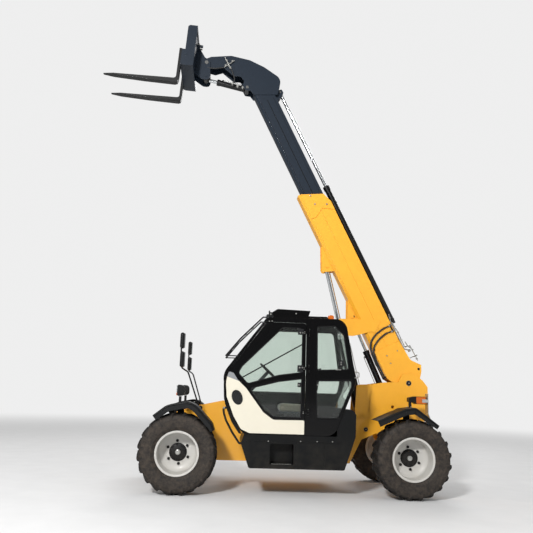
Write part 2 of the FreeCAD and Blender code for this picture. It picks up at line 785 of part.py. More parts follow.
def boom_inner():
    """Inner boom: folded box with a slanted front, and the extension rod's clevis on top."""
    half = inner_width / 2
    beam = box_beam(folded(half, inner_top, -inner_bottom, inner_fold), inner_wall, inner_tail,
                    inner_front + 220)
    front = ((inner_tail, 400), (inner_front + 60, 400), (inner_front + 60, inner_top),
             (inner_front + 215, -inner_bottom), (inner_front + 215, -400), (inner_tail, -400))
    beam = beam.common(plate(front, -half - 1, half + 1))
    x = ext_rod_front
    ear = ((x - 140, inner_top - 4), (x - 140, 180), (x - 40, 318, 20), (x + 42, 318, 20), (x + 42, 240),
           (x - 4, inner_top - 4))
    ears = both_sides(ear, ext_eye_half + eye_gap, 14,
                      ((ext_rod_front, ext_axis_height, ext_pin_radius + pin_gap),))
    return fused(beam, *ears)


def wear_pads():
    """Sliding pads on the inner boom's tail, running inside the outer boom."""
    inside = outer_width / 2 - outer_wall - fit_gap
    half = inner_width / 2
    pieces = []
    x = inner_tail + 40
    for side in (1, -1):
        y0, y1 = sorted((side * half, side * inside))
        pieces.append(box(x, x + pad_length, y0, y1, 20, 110))
    pieces.append(box(x, x + pad_length, -70, 70, inner_top, outer_top - outer_wall - fit_gap))
    pieces.append(box(x, x + pad_length, -70, 70, outer_wall + fit_gap - outer_bottom, -inner_bottom))
    return group(*pieces)


def nose_pads():
    """Sliding pads inside the outer boom's nose, bearing on the inner boom."""
    half = inner_width / 2 + fit_gap
    inside = outer_width / 2 - outer_wall
    x = outer_nose_top - 160 - pad_length
    pieces = []
    for side in (1, -1):
        y0, y1 = sorted((side * half, side * inside))
        pieces.append(box(x, x + pad_length, y0, y1, 20, 110))
    pieces.append(box(x, x + pad_length, -70, 70, inner_top + fit_gap, outer_top - outer_wall))
    x = outer_nose_bottom - 60 - pad_length
    pieces.append(box(x, x + pad_length, -70, 70, outer_wall - outer_bottom, -inner_bottom - fit_gap))
    return group(*pieces)


def extension_barrel():
    """Barrel of the boom extension cylinder, on the outer boom's back."""
    z = ext_axis_height
    tube = rod((ext_barrel_back, 0, z), (ext_barrel_front - 70, 0, z), ext_barrel_radius, tube_sides)
    gland = rod((ext_barrel_front - 80, 0, z), (ext_barrel_front, 0, z), ext_barrel_radius + 8, tube_sides)
    inside = bore((ext_barrel_back + 40, 0, z), (ext_barrel_front + 1, 0, z),
                  ext_rod_radius + pin_gap, tube_sides)
    return tube.fuse(gland).cut(inside)


def extension_rod():
    """Rod of the extension cylinder, from inside its barrel to its pinned eye."""
    bar = rod((ext_barrel_front - 120, 0, ext_axis_height), (ext_rod_front, 0, ext_axis_height),
              ext_rod_radius, tube_sides)
    eye = rod_y(ext_rod_front, ext_axis_height, 45, -ext_eye_half, ext_eye_half)
    pin = rod_y(ext_rod_front, ext_axis_height, ext_pin_radius, -ext_eye_half - 18, ext_eye_half + 18)
    return fused(bar, eye, pin)


def boom_pipes():
    """Steel pipes along the boom's back to the fittings above its tail."""
    run = [(1060, 214), (540, 214), (479, 292)]
    pieces = []
    for y, port in ((90, 1120), (120, 1180)):
        pieces.append(rail([(port, 66, 256)] + [(x, y, z) for x, z in run], 9))
    clamp = [box(x, x + 24, 76, 134, outer_top, 225) for x in (960, 760)]
    tee = box(455, 500, 74, 136, 272, 306)
    post = box(560, 584, 76, 134, outer_top, 225)
    return fused(*pieces, *clamp, tee, post)


def boom_hoses():
    """Pressure hoses from the pipes' bulkhead, round below the boom to the tail's clamp."""
    outer = ((992, 162), (1000, 60), (975, -90), (935, -190), (860, -290), (720, -346), (480, -356),
             (240, -346))
    inner = ((891, 161), (905, 60), (885, -60), (840, -170), (778, -265), (660, -324), (440, -326),
             (240, -318))
    y = outer_width / 2 + hose_radius + 1
    clamp = [box(870, 1015, outer_width / 2, y + hose_radius, 150, 176),
             box(228, 262, outer_width / 2, y + hose_radius, -362, -290.5)]
    return fused(hose(outer, y, hose_radius), hose(inner, y, hose_radius), *clamp)


def past_inner(corners):
    """Corners measured from the inner boom's front end."""
    return [(inner_front + corner[0],) + tuple(corner[1:]) for corner in corners]


def head_line():
    """Side outline of the gooseneck, from the inner boom down to the carriage pivot."""
    top = [(-1, 175), (88, 255, 60), (262, 372, 160), (588, 185, 200), (822, -4, 160),
           (1036, -286, 160), (1160, -640, 60)]
    lower = [(1160, -810, 60), (1010, -830, 40), (995, -774), (906, -667), (891, -525), (639, -410),
             (598, -301, 60), (490, -275), (410, -330, 40), (310, -330, 40), (260, -245), (167, -225)]
    return past_inner(top), past_inner(lower)


def boom_head():
    """Gooseneck: two side plates, a web under their top edge, and the carriage's pin."""
    top, lower = head_line()
    sides = both_sides(top + lower, head_half_width, head_plate)
    web = plate(top + lower, -head_half_width, head_half_width)
    hollow = past_inner([(-40, 100), (88, 243), (262, 356, 150), (578, 173, 190), (811, -12, 150),
                         (1022, -290, 150), (1130, -610), (1130, -1000), (-40, -1000)])
    web = web.cut(plate(hollow, -head_half_width - 1, head_half_width + 1))
    web = web.cut(box(inner_front - 40, inner_front + 140, -300, 300, 100, 400))
    pin = rod_y(tilt_pin_x, -tilt_pin_drop, tilt_pin_radius, -ear_half - ear_plate - 8,
                ear_half + ear_plate + 8)
    foot = rod_y(tilt_foot_x, -tilt_foot_drop, tilt_foot_radius, -head_half_width - head_plate - 6,
                 head_half_width + head_plate + 6)
    return fused(*sides, web, pin, foot)


# Fork carriage, drawn level about its pivot

def fork_carriage():
    """Carriage: side boxes, back plates, fork shaft, and the ears on the head and tilt rod."""
    w, t = carriage_half_width, carriage_plate
    low = ((carriage_back, -285), (carriage_front, -285, 30), (carriage_front, 20), (370, 20),
           (370, 95), (370, 470, 20), (340, 500, 20), (carriage_back, 500))
    pieces = both_sides(low, w - t, t)
    pieces.append(box(carriage_back, carriage_back + 16, -w + t, w - t, -285, 330))
    for z0, z1, depth in ((-285, -225, carriage_front - carriage_back), (20, 95, 70), (440, 500, 60)):
        pieces.append(box(carriage_back, carriage_back + depth, -w + t, w - t, z0, z1))
    pieces.append(rod_y(fork_shaft_x, fork_shaft_z, fork_shaft_radius, -w - 4, w + 4))
    ear = ((carriage_back + 1, 330), (40, 95), (-62, 40, 50), (-95, -268), (-80, -340, 60), (40, -340, 60),
           (carriage_back + 1, -240))
    pieces += both_sides(ear, ear_half, ear_plate,
                         ((0, 0, tilt_pin_radius + pin_gap),))
    for y0, y1 in ((ear_half + ear_plate - 2, ear_half + ear_plate + 8),
                   (-ear_half - ear_plate - 8, 2 - ear_half - ear_plate)):
        pieces.append(rod_y(tilt_eye_x, tilt_eye_z, tilt_foot_radius, y0, y1))
    for y in (-230, 230):
        pieces.append(rod((carriage_back - 110, y, 250), (carriage_back + 4, y, 250), 26, 8))
    return fused(*pieces)


def forks():
    """Two tapered forks hung on the shaft, each with its hook eye, shank and blade."""
    x0 = carriage_front + fit_gap
    x1 = x0 + fork_thickness
    heel, tip = -fork_heel_drop, x1 + fork_length
    line = [(x0, 60), (x1, 60), (x1, heel + fork_thickness + 30, 40), (tip, heel + fork_tip_rise + 12),
            (tip, heel + fork_tip_rise), (x1 + 560, heel), (x0, heel, 60)]
    hook = [(x0 + 5, 40), (310, 40, 20), (290, fork_shaft_z - 20, 20), (310, -120, 20), (x0 + 5, -130)]
    pieces = []
    for side in (1, -1):
        y = side * fork_spacing / 2
        blade = plate(line, y - fork_width / 2, y + fork_width / 2)
        eye = plate(hook, y - fork_width / 2, y + fork_width / 2)
        point = [V(tip + 1, y + k * fork_width / 2, -700) for k in (1, -1)]
        fork = blade.fuse(eye).cut(bore_y(fork_shaft_x, fork_shaft_z, fork_shaft_radius + pin_gap,
                                          y - fork_width, y + fork_width))
        for k in (1, -1):
            edge = y + k * fork_width / 2
            cut = Part.makePolygon([V(tip - 180, edge, -700), V(tip + 1, edge, -700),
                                    V(tip + 1, edge - k * 38, -700), V(tip - 180, edge, -700)])
            fork = fork.cut(Part.Face(cut).extrude(V(0, 0, 300)))
        pieces.append(fork.removeSplitter())
    return group(*pieces)


# Cylinders

def barrel(foot, angle, length, radius, rod_radius, pin_radius, half_width):
    """Cylinder barrel with its foot eye, drawn along X from the foot pin, then placed."""
    tube = rod((0, 0, 0), (length, 0, 0), radius, tube_sides)
    gland = rod((length - 60, 0, 0), (length, 0, 0), radius + 6, tube_sides)
    eye = rod_y(0, 0, pin_radius + 24, -half_width, half_width)
    clear = radius + 8
    body = tube.cut(box(-clear, pin_radius + 10, -radius - 1, radius + 1, -radius - 1, radius + 1))
    neck = box(0, pin_radius + 30, -radius * 0.8, radius * 0.8, -radius * 0.6, radius * 0.6)
    body = fused(body, gland, neck, eye)
    body = body.cut(bore((pin_radius + 60, 0, 0), (length + 1, 0, 0), rod_radius + pin_gap, tube_sides))
    body = body.cut(bore_y(0, 0, pin_radius + pin_gap, -half_width - 1, half_width + 1))
    return turned(moved(body, foot[0], foot[2], foot[1]), angle, foot[0], foot[1])


def piston_rod(foot, angle, start, length, rod_radius, eye_radius, pin_radius, eye_half, pin_half):
    """Rod with its eye and pin, drawn along X from the barrel's foot, then placed."""
    bar = rod((start, 0, 0), (length, 0, 0), rod_radius, tube_sides)
    eye = rod_y(length, 0, eye_radius, -eye_half, eye_half)
    pieces = [bar, eye]
    if pin_half > eye_half:
        pieces.append(rod_y(length, 0, pin_radius, -pin_half, pin_half))
    return turned(moved(fused(*pieces), foot[0], foot[2], foot[1]), angle, foot[0], foot[1])


def span(foot, end):
    """Angle and length from one point (x, z) to another."""
    dx, dz = end[0] - foot[0], end[1] - foot[1]
    return degrees(atan2(dz, dx)), hypot(dx, dz)


def save_cylinders():
    """The lift, levelling and tilt cylinders, each as barrel and rod."""
    eye_half = bracket_gap / 2 - eye_gap
    # name, foot, rod eye, barrel length, rod start, radii of barrel, rod, foot pin and eye,
    # half width of the foot
    table = (("lift", (lift_foot_x, lift_foot_z), boom_point(lift_pin_x, -lift_pin_drop),
              1530, 1320, lift_barrel_radius, lift_rod_radius, lift_foot_radius, lift_eye_radius,
              frame_inner_gap / 2 - eye_gap),
             ("level", (level_foot_x, level_foot_z), boom_point(level_pin_x, -level_pin_drop),
              1010, 800, level_barrel_radius, level_rod_radius, level_pin_radius, level_eye_radius,
              eye_half),
             ("tilt", boom_point(tilt_foot_x, -tilt_foot_drop), carriage_point(tilt_eye_x, tilt_eye_z),
              570, 232, tilt_barrel_radius, tilt_rod_radius, tilt_foot_radius, tilt_eye_radius,
              head_half_width - eye_gap))
    for name, foot, eye, length, start, wide, thin, pin, eye_radius, foot_half in table:
        angle, reach = span(foot, eye)
        place = (foot[0], foot[1], boom_y)
        save_carried(name + "_barrel", barrel(place, angle, length, wide, thin, pin, foot_half))
        out = ear_half - eye_gap if name == "tilt" else eye_half
        save_carried(name + "_rod", piston_rod(place, angle, start, reach, thin, eye_radius,
                                               level_pin_radius, eye_half, out))


# Cab

def cab_line():
    """Side outline of the cab: floor, sloped rear, roof, windscreen."""
    return ((-560, cab_floor_z, 200), (-890, 1700, 300), (-720, 2650, 180), (500, 2640, 100),
            (1160, 1740, 260), (825, cab_floor_z, 120))


def cab_slab(inset, y0, y1):
    """The cab's side outline drawn in by inset, from y0 to y1."""
    face = Part.Face(outline(cab_line(), y0))
    if inset:
        face = face.makeOffset2D(-inset)
    return face.extrude(V(0, y1 - y0, 0))


def cab_band(shallow, deep, x0, x1, z0, z1):
    """Part of the skin that runs round the cab between its sides, between two depths."""
    inner, outer = cab_inner_y + cab_side, cab_outer_y - cab_side
    band = cab_slab(shallow, inner, outer).cut(cab_slab(deep, inner, outer))
    return band.common(box(x0, x1, inner, outer, z0, z1))


def window(corners, y0, y1, gap=0):
    face = Part.Face(outline(corners, y0))
    if gap:
        face = face.makeOffset2D(-gap)
    return face.extrude(V(0, y1 - y0, 0))


def side_windows():
    upper = ((-276, 2522, 30), (-547, 2543, 60), (-700, 2409, 80), (-779, 1879, 30), (-283, 1852, 30))
    lower = ((-278, 1705, 30), (-820, 1723, 30), (-824, 1629, 60), (-614, 1149, 40), (-287, 1148, 30))
    return upper, lower


def door_windows():
    upper = ((255, 2491, 60), (-20, 2490, 30), (-58, 2429, 20), (-58, 1812, 20), (299, 1759, 400),
             (760, 1619, 60), (914, 1780, 60), (856, 1886, 60))
    lower = ((738, 1558, 40), (296, 1676, 400), (-58, 1728, 20), (-58, 1143, 20), (365, 1149, 60),
             (495, 1237, 60))
    return upper, lower


def door_slab(inset, y0, y1):
    """The door's outline, or its opening in the side, drawn in by inset from the cab's."""
    slab = cab_slab(inset, y0, y1)
    edge = inset - cab_tube
    return slab.common(box(door_rear_x - door_gap + edge, 2000, y0, y1, 0, door_top_z + door_gap - edge))


def cab_frame():
    """Side frames, with the door's opening and windows cut, cross members and floor."""
    inner, outer = cab_inner_y + cab_side, cab_outer_y - cab_side
    left = cab_slab(0, outer, cab_outer_y)
    left = left.cut(door_slab(cab_tube, outer - 1, cab_outer_y + 1))
    for corners in side_windows():
        left = left.cut(window(corners, outer - 1, cab_outer_y + 1))
    right = cab_slab(0, cab_inner_y, inner)
    right = right.cut(right_window(0, cab_inner_y - 1, inner + 1))
    beams = [cab_band(0, cab_tube, 300, 1200, 2500, 2600),
             cab_band(0, cab_tube, 300, 1200, 1090, 1150),
             cab_band(0, cab_tube, -900, -300, 2480, 2600),
             cab_band(0, cab_tube, -900, -300, 1130, 1190),
             cab_band(0, cab_skin, -900, 1200, 880, 930)]
    return fused(left, right, *beams, *door_hinge_lugs())


def door_hinge_lugs():
    """Lugs and pins on the rear pillar for the three door hinges."""
    pieces = []
    for z in door_hinges:
        pieces.append(rod((hinge_x, hinge_y, z - 50), (hinge_x, hinge_y, z + 50), hinge_pin_radius,
                          hinge_sides))
        for z0 in (z - 50, z + 26):
            lug = rod((hinge_x, hinge_y, z0), (hinge_x, hinge_y, z0 + 24), hinge_radius, hinge_sides)
            strap = box(hinge_x - 52, hinge_x, cab_outer_y - 1, hinge_y + 6, z0, z0 + 24)
            pieces.append(lug.fuse(strap))
    return pieces


def right_window(gap, y0, y1):
    line = ((-690, 2520, 80), (-800, 1700, 120), (-760, 1500, 60), (860, 1500, 60), (1000, 1740, 120),
            (440, 2520, 60))
    return window(line, y0, y1, gap)


def cab_panels():
    """Solid panels between the sides, below the windows at the front and rear."""
    return group(cab_band(0, cab_skin, 300, 1200, 930, 1090),
                 cab_band(0, cab_skin, -900, -300, 930, 1130))


def cab_roof():
    """Roof skin, and the raised visor plate on it."""
    skin = cab_band(0, cab_skin, -900, 700, 2600, 2660)
    cap = plate(((-470, 2647), (-440, 2689, 20), (360, 2684, 20), (430, 2640)), 260, 1010)
    visor = plate(((-156, 2680), (-190, 2778, 10), (330, 2790, 60), (420, 2730, 20), (406, 2662),
                   (300, 2680)), 320, 950)
    return fused(skin, cap.cut(cab_slab(0, 200, 1100)), visor)


def cab_glass():
    """Windscreen, rear window, right window and the two quarter windows."""
    panes = [cab_band(6, 6 + glass, 300, 1200, 1150, 2500),
             cab_band(6, 6 + glass, -900, -300, 1190, 2480),
             right_window(fit_gap, cab_inner_y + 18, cab_inner_y + 18 + glass)]
    for corners in side_windows():
        panes.append(window(corners, cab_outer_y - 24, cab_outer_y - 24 + glass, fit_gap))
    return group(*panes)


def windscreen_guard():
    """Guard bars standing off the windscreen, from the roof's edge to the pillars."""
    line = [(500, 2655), (560, 2655), (902, 2310), (1120, 2039), (1100, 2023), (886, 2292), (548, 2636),
            (500, 2636)]
    rails = [plate(line, y, y + 16) for y in (260, 984)]
    bars = [box(x - 8, x + 8, 261, 999, z - 8, z + 8)
            for x, z in ((700, 2497), (800, 2398), (905, 2288), (1000, 2170), (1090, 2058))]
    feet = [box(915, 1105, y, y + 16, 2030, 2046) for y in (260, 984)]
    feet = [foot.cut(cab_slab(6, 200, 1100)) for foot in feet]
    return fused(*rails, *bars, *feet)


def door_frame():
    """Door: one thick pressed frame with two windows, hinge straps and the inside grab bar."""
    y0, y1 = cab_outer_y - door_tube, cab_outer_y
    leaf = door_slab(cab_tube + door_gap, y0, y1)
    for corners in door_windows():
        leaf = leaf.cut(window(corners, y0 - 1, y1 + 1))
    pieces = [leaf]
    for z in door_hinges:
        eye = rod((hinge_x, hinge_y, z - 24), (hinge_x, hinge_y, z + 24), hinge_radius, hinge_sides)
        strap = box(hinge_x, -62, hinge_y - 4, hinge_y + 6, z - 24, z + 24)
        foot = box(-104, -62, y1 - 1, hinge_y, z - 24, z + 24)
        hole = bore((hinge_x, hinge_y, z - 25), (hinge_x, hinge_y, z + 25), hinge_pin_radius + pin_gap,
                    hinge_sides)
        pieces.append(fused(eye, strap, foot).cut(hole))
    bar = rail([(-84, y0 + 4, 2330), (-84, y0 - 22, 2330), (-84, y0 - 22, 2259), (813, y0 - 22, 1734),
                (940, y0 - 22, 1660), (940, y0 + 4, 1660)], 10)
    return fused(*pieces, bar)


def door_panel():
    """Proud outer panel of the door, swept up at the front, with the handle's opening."""
    line = ((1087, 1650, 250), (1066, 1425), (950, 1142), (839, 964, 60), (712, 908, 60), (-104, 908, 10),
            (-104, 1113, 20), (364, 1109, 120), (515, 1216), (779, 1557), (909, 1677), (977, 1778, 20),
            (1050, 1800, 30))
    y0 = cab_outer_y + fit_gap
    return window(line, y0, y0 + panel_plate).cut(oval(78, 112, y0 - 1, y0 + panel_plate + 1))


def oval(half_width, half_height, y0, y1):
    """Tilted oval about the door handle's middle."""
    lean = radians(handle_tilt)
    spots = []
    for k in range(oval_sides):
        u = half_width * cos(2 * pi * k / oval_sides)
        w = half_height * sin(2 * pi * k / oval_sides)
        spots.append((handle_x + u * cos(lean) + w * sin(lean), handle_z - u * sin(lean) + w * cos(lean)))
    return plate(spots, y0, y1)


def door_handle():
    """Oval handle cup in the panel's opening, with its pull across it."""
    y0 = cab_outer_y + fit_gap
    cup = oval(78 - fit_gap, 112 - fit_gap, y0, y0 + 14).cut(oval(62, 96, y0 + 4, y0 + 20))
    pull = box(handle_x - 14, handle_x + 14, y0 + 2, y0 + 20, handle_z - 92, handle_z + 92)
    return fused(cup, pull.common(oval(70, 104, y0, y0 + 30)))


def door_glass():
    return group(*[window(corners, cab_outer_y - 20, cab_outer_y - 20 + glass, fit_gap)
                   for corners in door_windows()])


def seat_base():
    """Box pedestal and pan under the driver's cushions."""
    floor = cab_floor_z + cab_skin + fit_gap
    pedestal = plate(((-200, floor), (170, floor), (140, 1200), (-180, 1200)), 470, 810)
    pan = plate(((-290, 1190), (250, 1190), (250, 1225, 12), (-240, 1225), (-360, 1900, 12), (-385, 1895),
                 (-270, 1200)), 420, 860)
    return fused(pedestal, pan)


def seat_cushions():
    """Seat and back cushions, plain closed forms."""
    seat = plate(((-190, 1225.3), (260, 1225.3, 30), (275, 1350, 50), (-190, 1335, 20)), 400, 880)
    back = plate(((-238, 1240, 20), (-110, 1352, 40), (-205, 1930, 60), (-340, 1940, 40), (-349, 1860)),
                 415, 865)
    shell = plate(((-290, 1190), (250, 1190), (250, 1225.2), (-239.7, 1225.2), (-359.7, 1900), (-385, 1895),
                   (-400, 1200)), 300, 960)
    return group(seat, back.cut(shell))


def dashboard():
    """Front console with its sloped binnacle, and the steering column."""
    floor = cab_floor_z + cab_skin + fit_gap
    console = plate(((640, floor), (734, floor), (850, 1200), (955, 1470), (900, 1560, 30), (660, 1500, 30),
                     (600, 1400, 30)), 430, 850)
    reach = steer_hub + fit_gap
    lean = radians(steer_tilt)
    ends = [(steer_x + out * sin(lean), wheel_y, steer_z - out * cos(lean))
            for out in (reach + column_length, reach)]
    return fused(console, rod(*ends, 28))


def steering_wheel():
    """Steering wheel: rim, hub and three flat spokes, square to its column."""
    rim = ring([(steer_radius + 12, 0), (steer_radius, 12), (steer_radius - 12, 0), (steer_radius, -12)],
               12)
    hub = prism(42, 6, -steer_hub, 10)
    spokes = [box(-14, 14, -5, 5, 30, steer_radius) for k in range(3)]
    for k, spoke in enumerate(spokes):
        spoke.rotate(V(0, 0, 0), V(0, 1, 0), 120 * k)
    wheel = fused(rim, hub, *spokes)
    wheel.rotate(V(0, 0, 0), V(1, 0, 0), 90)
    wheel.rotate(V(0, 0, 0), V(0, 1, 0), -steer_tilt)
    return moved(wheel, steer_x, wheel_y, steer_z)


def beacon():
    """Flashing beacon on its stem at the back of the roof."""
    top = 2649
    base = rod((beacon_x, beacon_y, top), (beacon_x, beacon_y, top + 24), 62)
    lens = rod((beacon_x, beacon_y, top + 24), (beacon_x, beacon_y, top + 110), 50)
    return base.fuse(lens)


def save_all():
    save_wheels()
    chassis = (("chassis_frame", chassis_frame()), ("counterweight", counterweight()),
               ("side_skirt", side_skirt()), ("engine_bay", group(engine_bay(), *hood_hinge_pins())),
               ("engine_block", box(-250, 600, -1000, -420, bay_floor_z + bay_plate + fit_gap, 1300)),
               ("pivot_pins", pivot_pins()), ("lamp_arms", lamp_arms()), ("lamps", lamps()),
               ("lamp_guards", lamp_guards()), ("mirrors", mirrors()), ("cab_frame", cab_frame()),
               ("cab_panels", cab_panels()),
               ("cab_roof", cab_roof()), ("cab_glass", cab_glass()),
               ("windscreen_guard", windscreen_guard()), ("seat_base", seat_base()),
               ("seat_cushions", seat_cushions()), ("dashboard", dashboard()),
               ("steering_wheel", steering_wheel()), ("beacon", beacon()),
               ("engine_hood", engine_hood()))
    door = (("door_frame", door_frame()), ("door_panel", door_panel()), ("door_glass", door_glass()),
            ("door_handle", door_handle()))
    for node, shape in chassis + door:
        save_carried(node, shape)
    boom = (("boom_outer", boom_outer()), ("nose_pads", nose_pads()),
            ("extension_barrel", extension_barrel()), ("boom_pipes", boom_pipes()),
            ("boom_hoses", boom_hoses()), ("boom_inner", boom_inner()), ("wear_pads", wear_pads()),
            ("extension_rod", extension_rod()), ("boom_head", boom_head()))
    for node, shape in boom:
        save_carried(node, on_boom(shape))
    save_carried("fork_carriage", on_carriage(fork_carriage()))
    save_carried("forks", on_carriage(forks()))
    save_cylinders()


if __name__ == "__main__":
    save_all()
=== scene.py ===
import json
from math import cos, pi, radians, sin, tan

import bmesh
import bpy
from mathutils import Matrix, Vector

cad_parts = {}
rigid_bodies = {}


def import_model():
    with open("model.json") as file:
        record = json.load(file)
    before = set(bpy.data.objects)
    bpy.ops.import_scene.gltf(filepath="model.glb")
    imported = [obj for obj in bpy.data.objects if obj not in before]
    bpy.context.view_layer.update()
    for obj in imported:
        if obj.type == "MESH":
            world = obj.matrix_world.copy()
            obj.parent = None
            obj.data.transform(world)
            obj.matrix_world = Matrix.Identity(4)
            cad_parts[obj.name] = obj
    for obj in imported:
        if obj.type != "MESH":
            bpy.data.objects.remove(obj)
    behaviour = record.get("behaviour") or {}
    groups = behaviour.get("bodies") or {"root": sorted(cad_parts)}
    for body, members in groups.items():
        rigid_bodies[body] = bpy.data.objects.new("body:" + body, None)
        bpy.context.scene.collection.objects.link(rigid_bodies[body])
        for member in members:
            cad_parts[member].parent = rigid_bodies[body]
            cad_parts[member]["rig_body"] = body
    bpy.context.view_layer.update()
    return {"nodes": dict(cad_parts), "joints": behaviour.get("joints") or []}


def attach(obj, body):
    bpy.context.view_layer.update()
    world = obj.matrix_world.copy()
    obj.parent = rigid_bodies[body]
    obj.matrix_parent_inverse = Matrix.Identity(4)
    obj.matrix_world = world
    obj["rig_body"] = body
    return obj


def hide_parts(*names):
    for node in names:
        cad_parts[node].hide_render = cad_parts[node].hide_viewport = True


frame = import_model()

# Stage. A pale floor that fades into a pale surround, soft lights, and the camera where the
# photograph was taken from: eye height, a little ahead of the middle, looking slightly up.
camera_spot = (1050.4, 10500.9, 1548.4)
camera_yaw, camera_pitch, camera_roll = -0.05474, 0.19698, 0.03251
camera_lens = 41.59
surround = 0.86
floor_radius = 60
floor_clear = 9
floor_faded = 26
lights_aim = (0, 0, 2.6)
joint = {j["name"]: j for j in frame["joints"]}
middle_x = (joint["spin_fl"]["pos_m"][0] + joint["spin_rl"]["pos_m"][0]) / 2


def mm(x, y, z):
    """A point in millimetres from the middle of the wheelbase, on the ground."""
    return Vector((middle_x + x / 1000, y / 1000, z / 1000))


def linear(code, times=1):
    """A colour written as a web code, as the shader wants it, and so many times as bright."""
    channels = [int(code[i:i + 2], 16) / 255 for i in (1, 3, 5)]
    return [times * (c / 12.92 if c < 0.04045 else ((c + 0.055) / 1.055) ** 2.4)
            for c in channels] + [1]


def add(tree, kind, inputs=None, **settings):
    """A node with its settings; each input is a value or another node's output."""
    node = tree.nodes.new("ShaderNode" + kind)
    for key, value in settings.items():
        setattr(node, key, value)
    for key, value in (inputs or {}).items():
        if isinstance(value, bpy.types.NodeSocket):
            tree.links.new(value, node.inputs[key])
        else:
            node.inputs[key].default_value = value
    return node


def blank(name):
    """A new material's empty node tree."""
    made = bpy.data.materials.new(name)
    made.use_nodes = True
    made.node_tree.nodes.clear()
    return made, made.node_tree


def make_camera():
    flat = Vector((sin(camera_yaw), -cos(camera_yaw), 0))
    right = Vector((-cos(camera_yaw), -sin(camera_yaw), 0))
    up = Vector((0, 0, 1))
    ahead = flat * cos(camera_pitch) + up * sin(camera_pitch)
    top = up * cos(camera_pitch) - flat * sin(camera_pitch)
    side = right * cos(camera_roll) + top * sin(camera_roll)
    top = top * cos(camera_roll) - right * sin(camera_roll)
    data = bpy.data.cameras.new("camera")
    data.lens = camera_lens
    data.sensor_width = 36
    data.clip_end = 500
    camera = bpy.data.objects.new("camera", data)
    camera.matrix_world = Matrix((side, top, -ahead)).transposed().to_4x4()
    camera.location = mm(*camera_spot)
    bpy.context.scene.collection.objects.link(camera)
    bpy.context.scene.camera = camera


def make_floor():
    made, tree = blank("studio_floor")
    place = add(tree, "NewGeometry").outputs["Position"]
    far = add(tree, "VectorMath", {0: place}, operation="LENGTH").outputs["Value"]
    fade = add(tree, "MapRange", {"Value": far, "From Min": floor_clear, "From Max": floor_faded},
               interpolation_type="SMOOTHSTEP").outputs["Result"]
    speck = add(tree, "TexNoise", {"Vector": place, "Scale": 2.2, "Detail": 5})
    tone = add(tree, "MapRange", {"Value": speck.outputs["Fac"], "To Min": 0.70, "To Max": 0.78})
    shade = add(tree, "BsdfPrincipled", {"Base Color": tone.outputs["Result"], "Roughness": 0.85})
    glow = add(tree, "Emission", {"Color": (surround, surround, surround, 1)})
    mixed = add(tree, "MixShader", {0: fade, 1: shade.outputs[0], 2: glow.outputs[0]})
    add(tree, "OutputMaterial", {"Surface": mixed.outputs[0]})
    mesh = bpy.data.meshes.new("floor")
    disc = bmesh.new()
    bmesh.ops.create_circle(disc, cap_ends=True, segments=64, radius=floor_radius)
    disc.to_mesh(mesh)
    mesh.materials.append(made)
    floor = bpy.data.objects.new("floor", mesh)
    bpy.context.scene.collection.objects.link(floor)


def make_lights():
    # name, place from the middle in metres, width, height, watts
    table = (("key", (5, 13, 8.5), 1.5, 1.5, 1950), ("fill", (-10, 9, 5), 6, 6, 150),
             ("back", (-4, -11, 11), 8, 5, 750), ("front", (12, -3, 7), 5, 5, 240))
    aim = Vector(lights_aim)
    for name, spot, width, height, watts in table:
        data = bpy.data.lights.new(name, "AREA")
        data.shape = "RECTANGLE"
        data.size, data.size_y = width, height
        data.energy = watts
        lamp = bpy.data.objects.new(name, data)
        lamp.location = spot
        lamp.rotation_euler = (aim - Vector(spot)).to_track_quat("-Z", "Y").to_euler()
        bpy.context.scene.collection.objects.link(lamp)


def make_surround():
    """Pale behind the machine and through glass; what lights it and shows in its gloss is dimmer."""
    world = bpy.data.worlds.new("surround")
    bpy.context.scene.world = world
    world.use_nodes = True
    tree = world.node_tree
    tree.nodes.clear()
    ray = add(tree, "LightPath")
    up = add(tree, "SeparateXYZ", {0: add(tree, "TexCoord").outputs["Generated"]}).outputs["Z"]
    sky = add(tree, "MapRange", {"Value": up, "From Min": -0.1, "From Max": 0.7, "To Min": 0.20,
                                 "To Max": 0.50}).outputs["Result"]
    mirrored = add(tree, "Mix", {0: ray.outputs["Is Glossy Ray"], 2: 1.0, 3: 0.8}, data_type="FLOAT")
    dimmed = add(tree, "Math", {0: sky, 1: mirrored.outputs[0]}, operation="MULTIPLY").outputs[0]
    seen = add(tree, "Math", {0: ray.outputs["Is Camera Ray"], 1: ray.outputs["Is Transmission Ray"]},
               operation="MAXIMUM").outputs[0]
    tone = add(tree, "Mix", {0: seen, 2: dimmed, 3: surround}, data_type="FLOAT").outputs[0]
    light = add(tree, "Background", {"Color": tone})
    add(tree, "OutputWorld", {"Surface": light.outputs[0]})


bpy.context.scene.view_settings.view_transform = "Standard"
make_camera()
make_floor()
make_lights()
make_surround()


# Tyres. Vulcanised rubber, moulded with slanted traction bars in two staggered rows and ribs round
# the wall. The walls are matt and faintly dusty, the bars' faces rubbed a little darker.
ends = ("fl", "fr", "rl", "rr")
wheel_at = {e: Vector(joint["spin_" + e]["pos_m"]) for e in ends}
tyre_radius = 587.5
tyre_half = 202.5
tread_half = 165
lug_height = 27
lugs_per_row = 20
lug_width = 42
lug_slope = 0.62
tyre_segments = 96
rubber = "#1c1917"
tread_dust = "#665a4f"


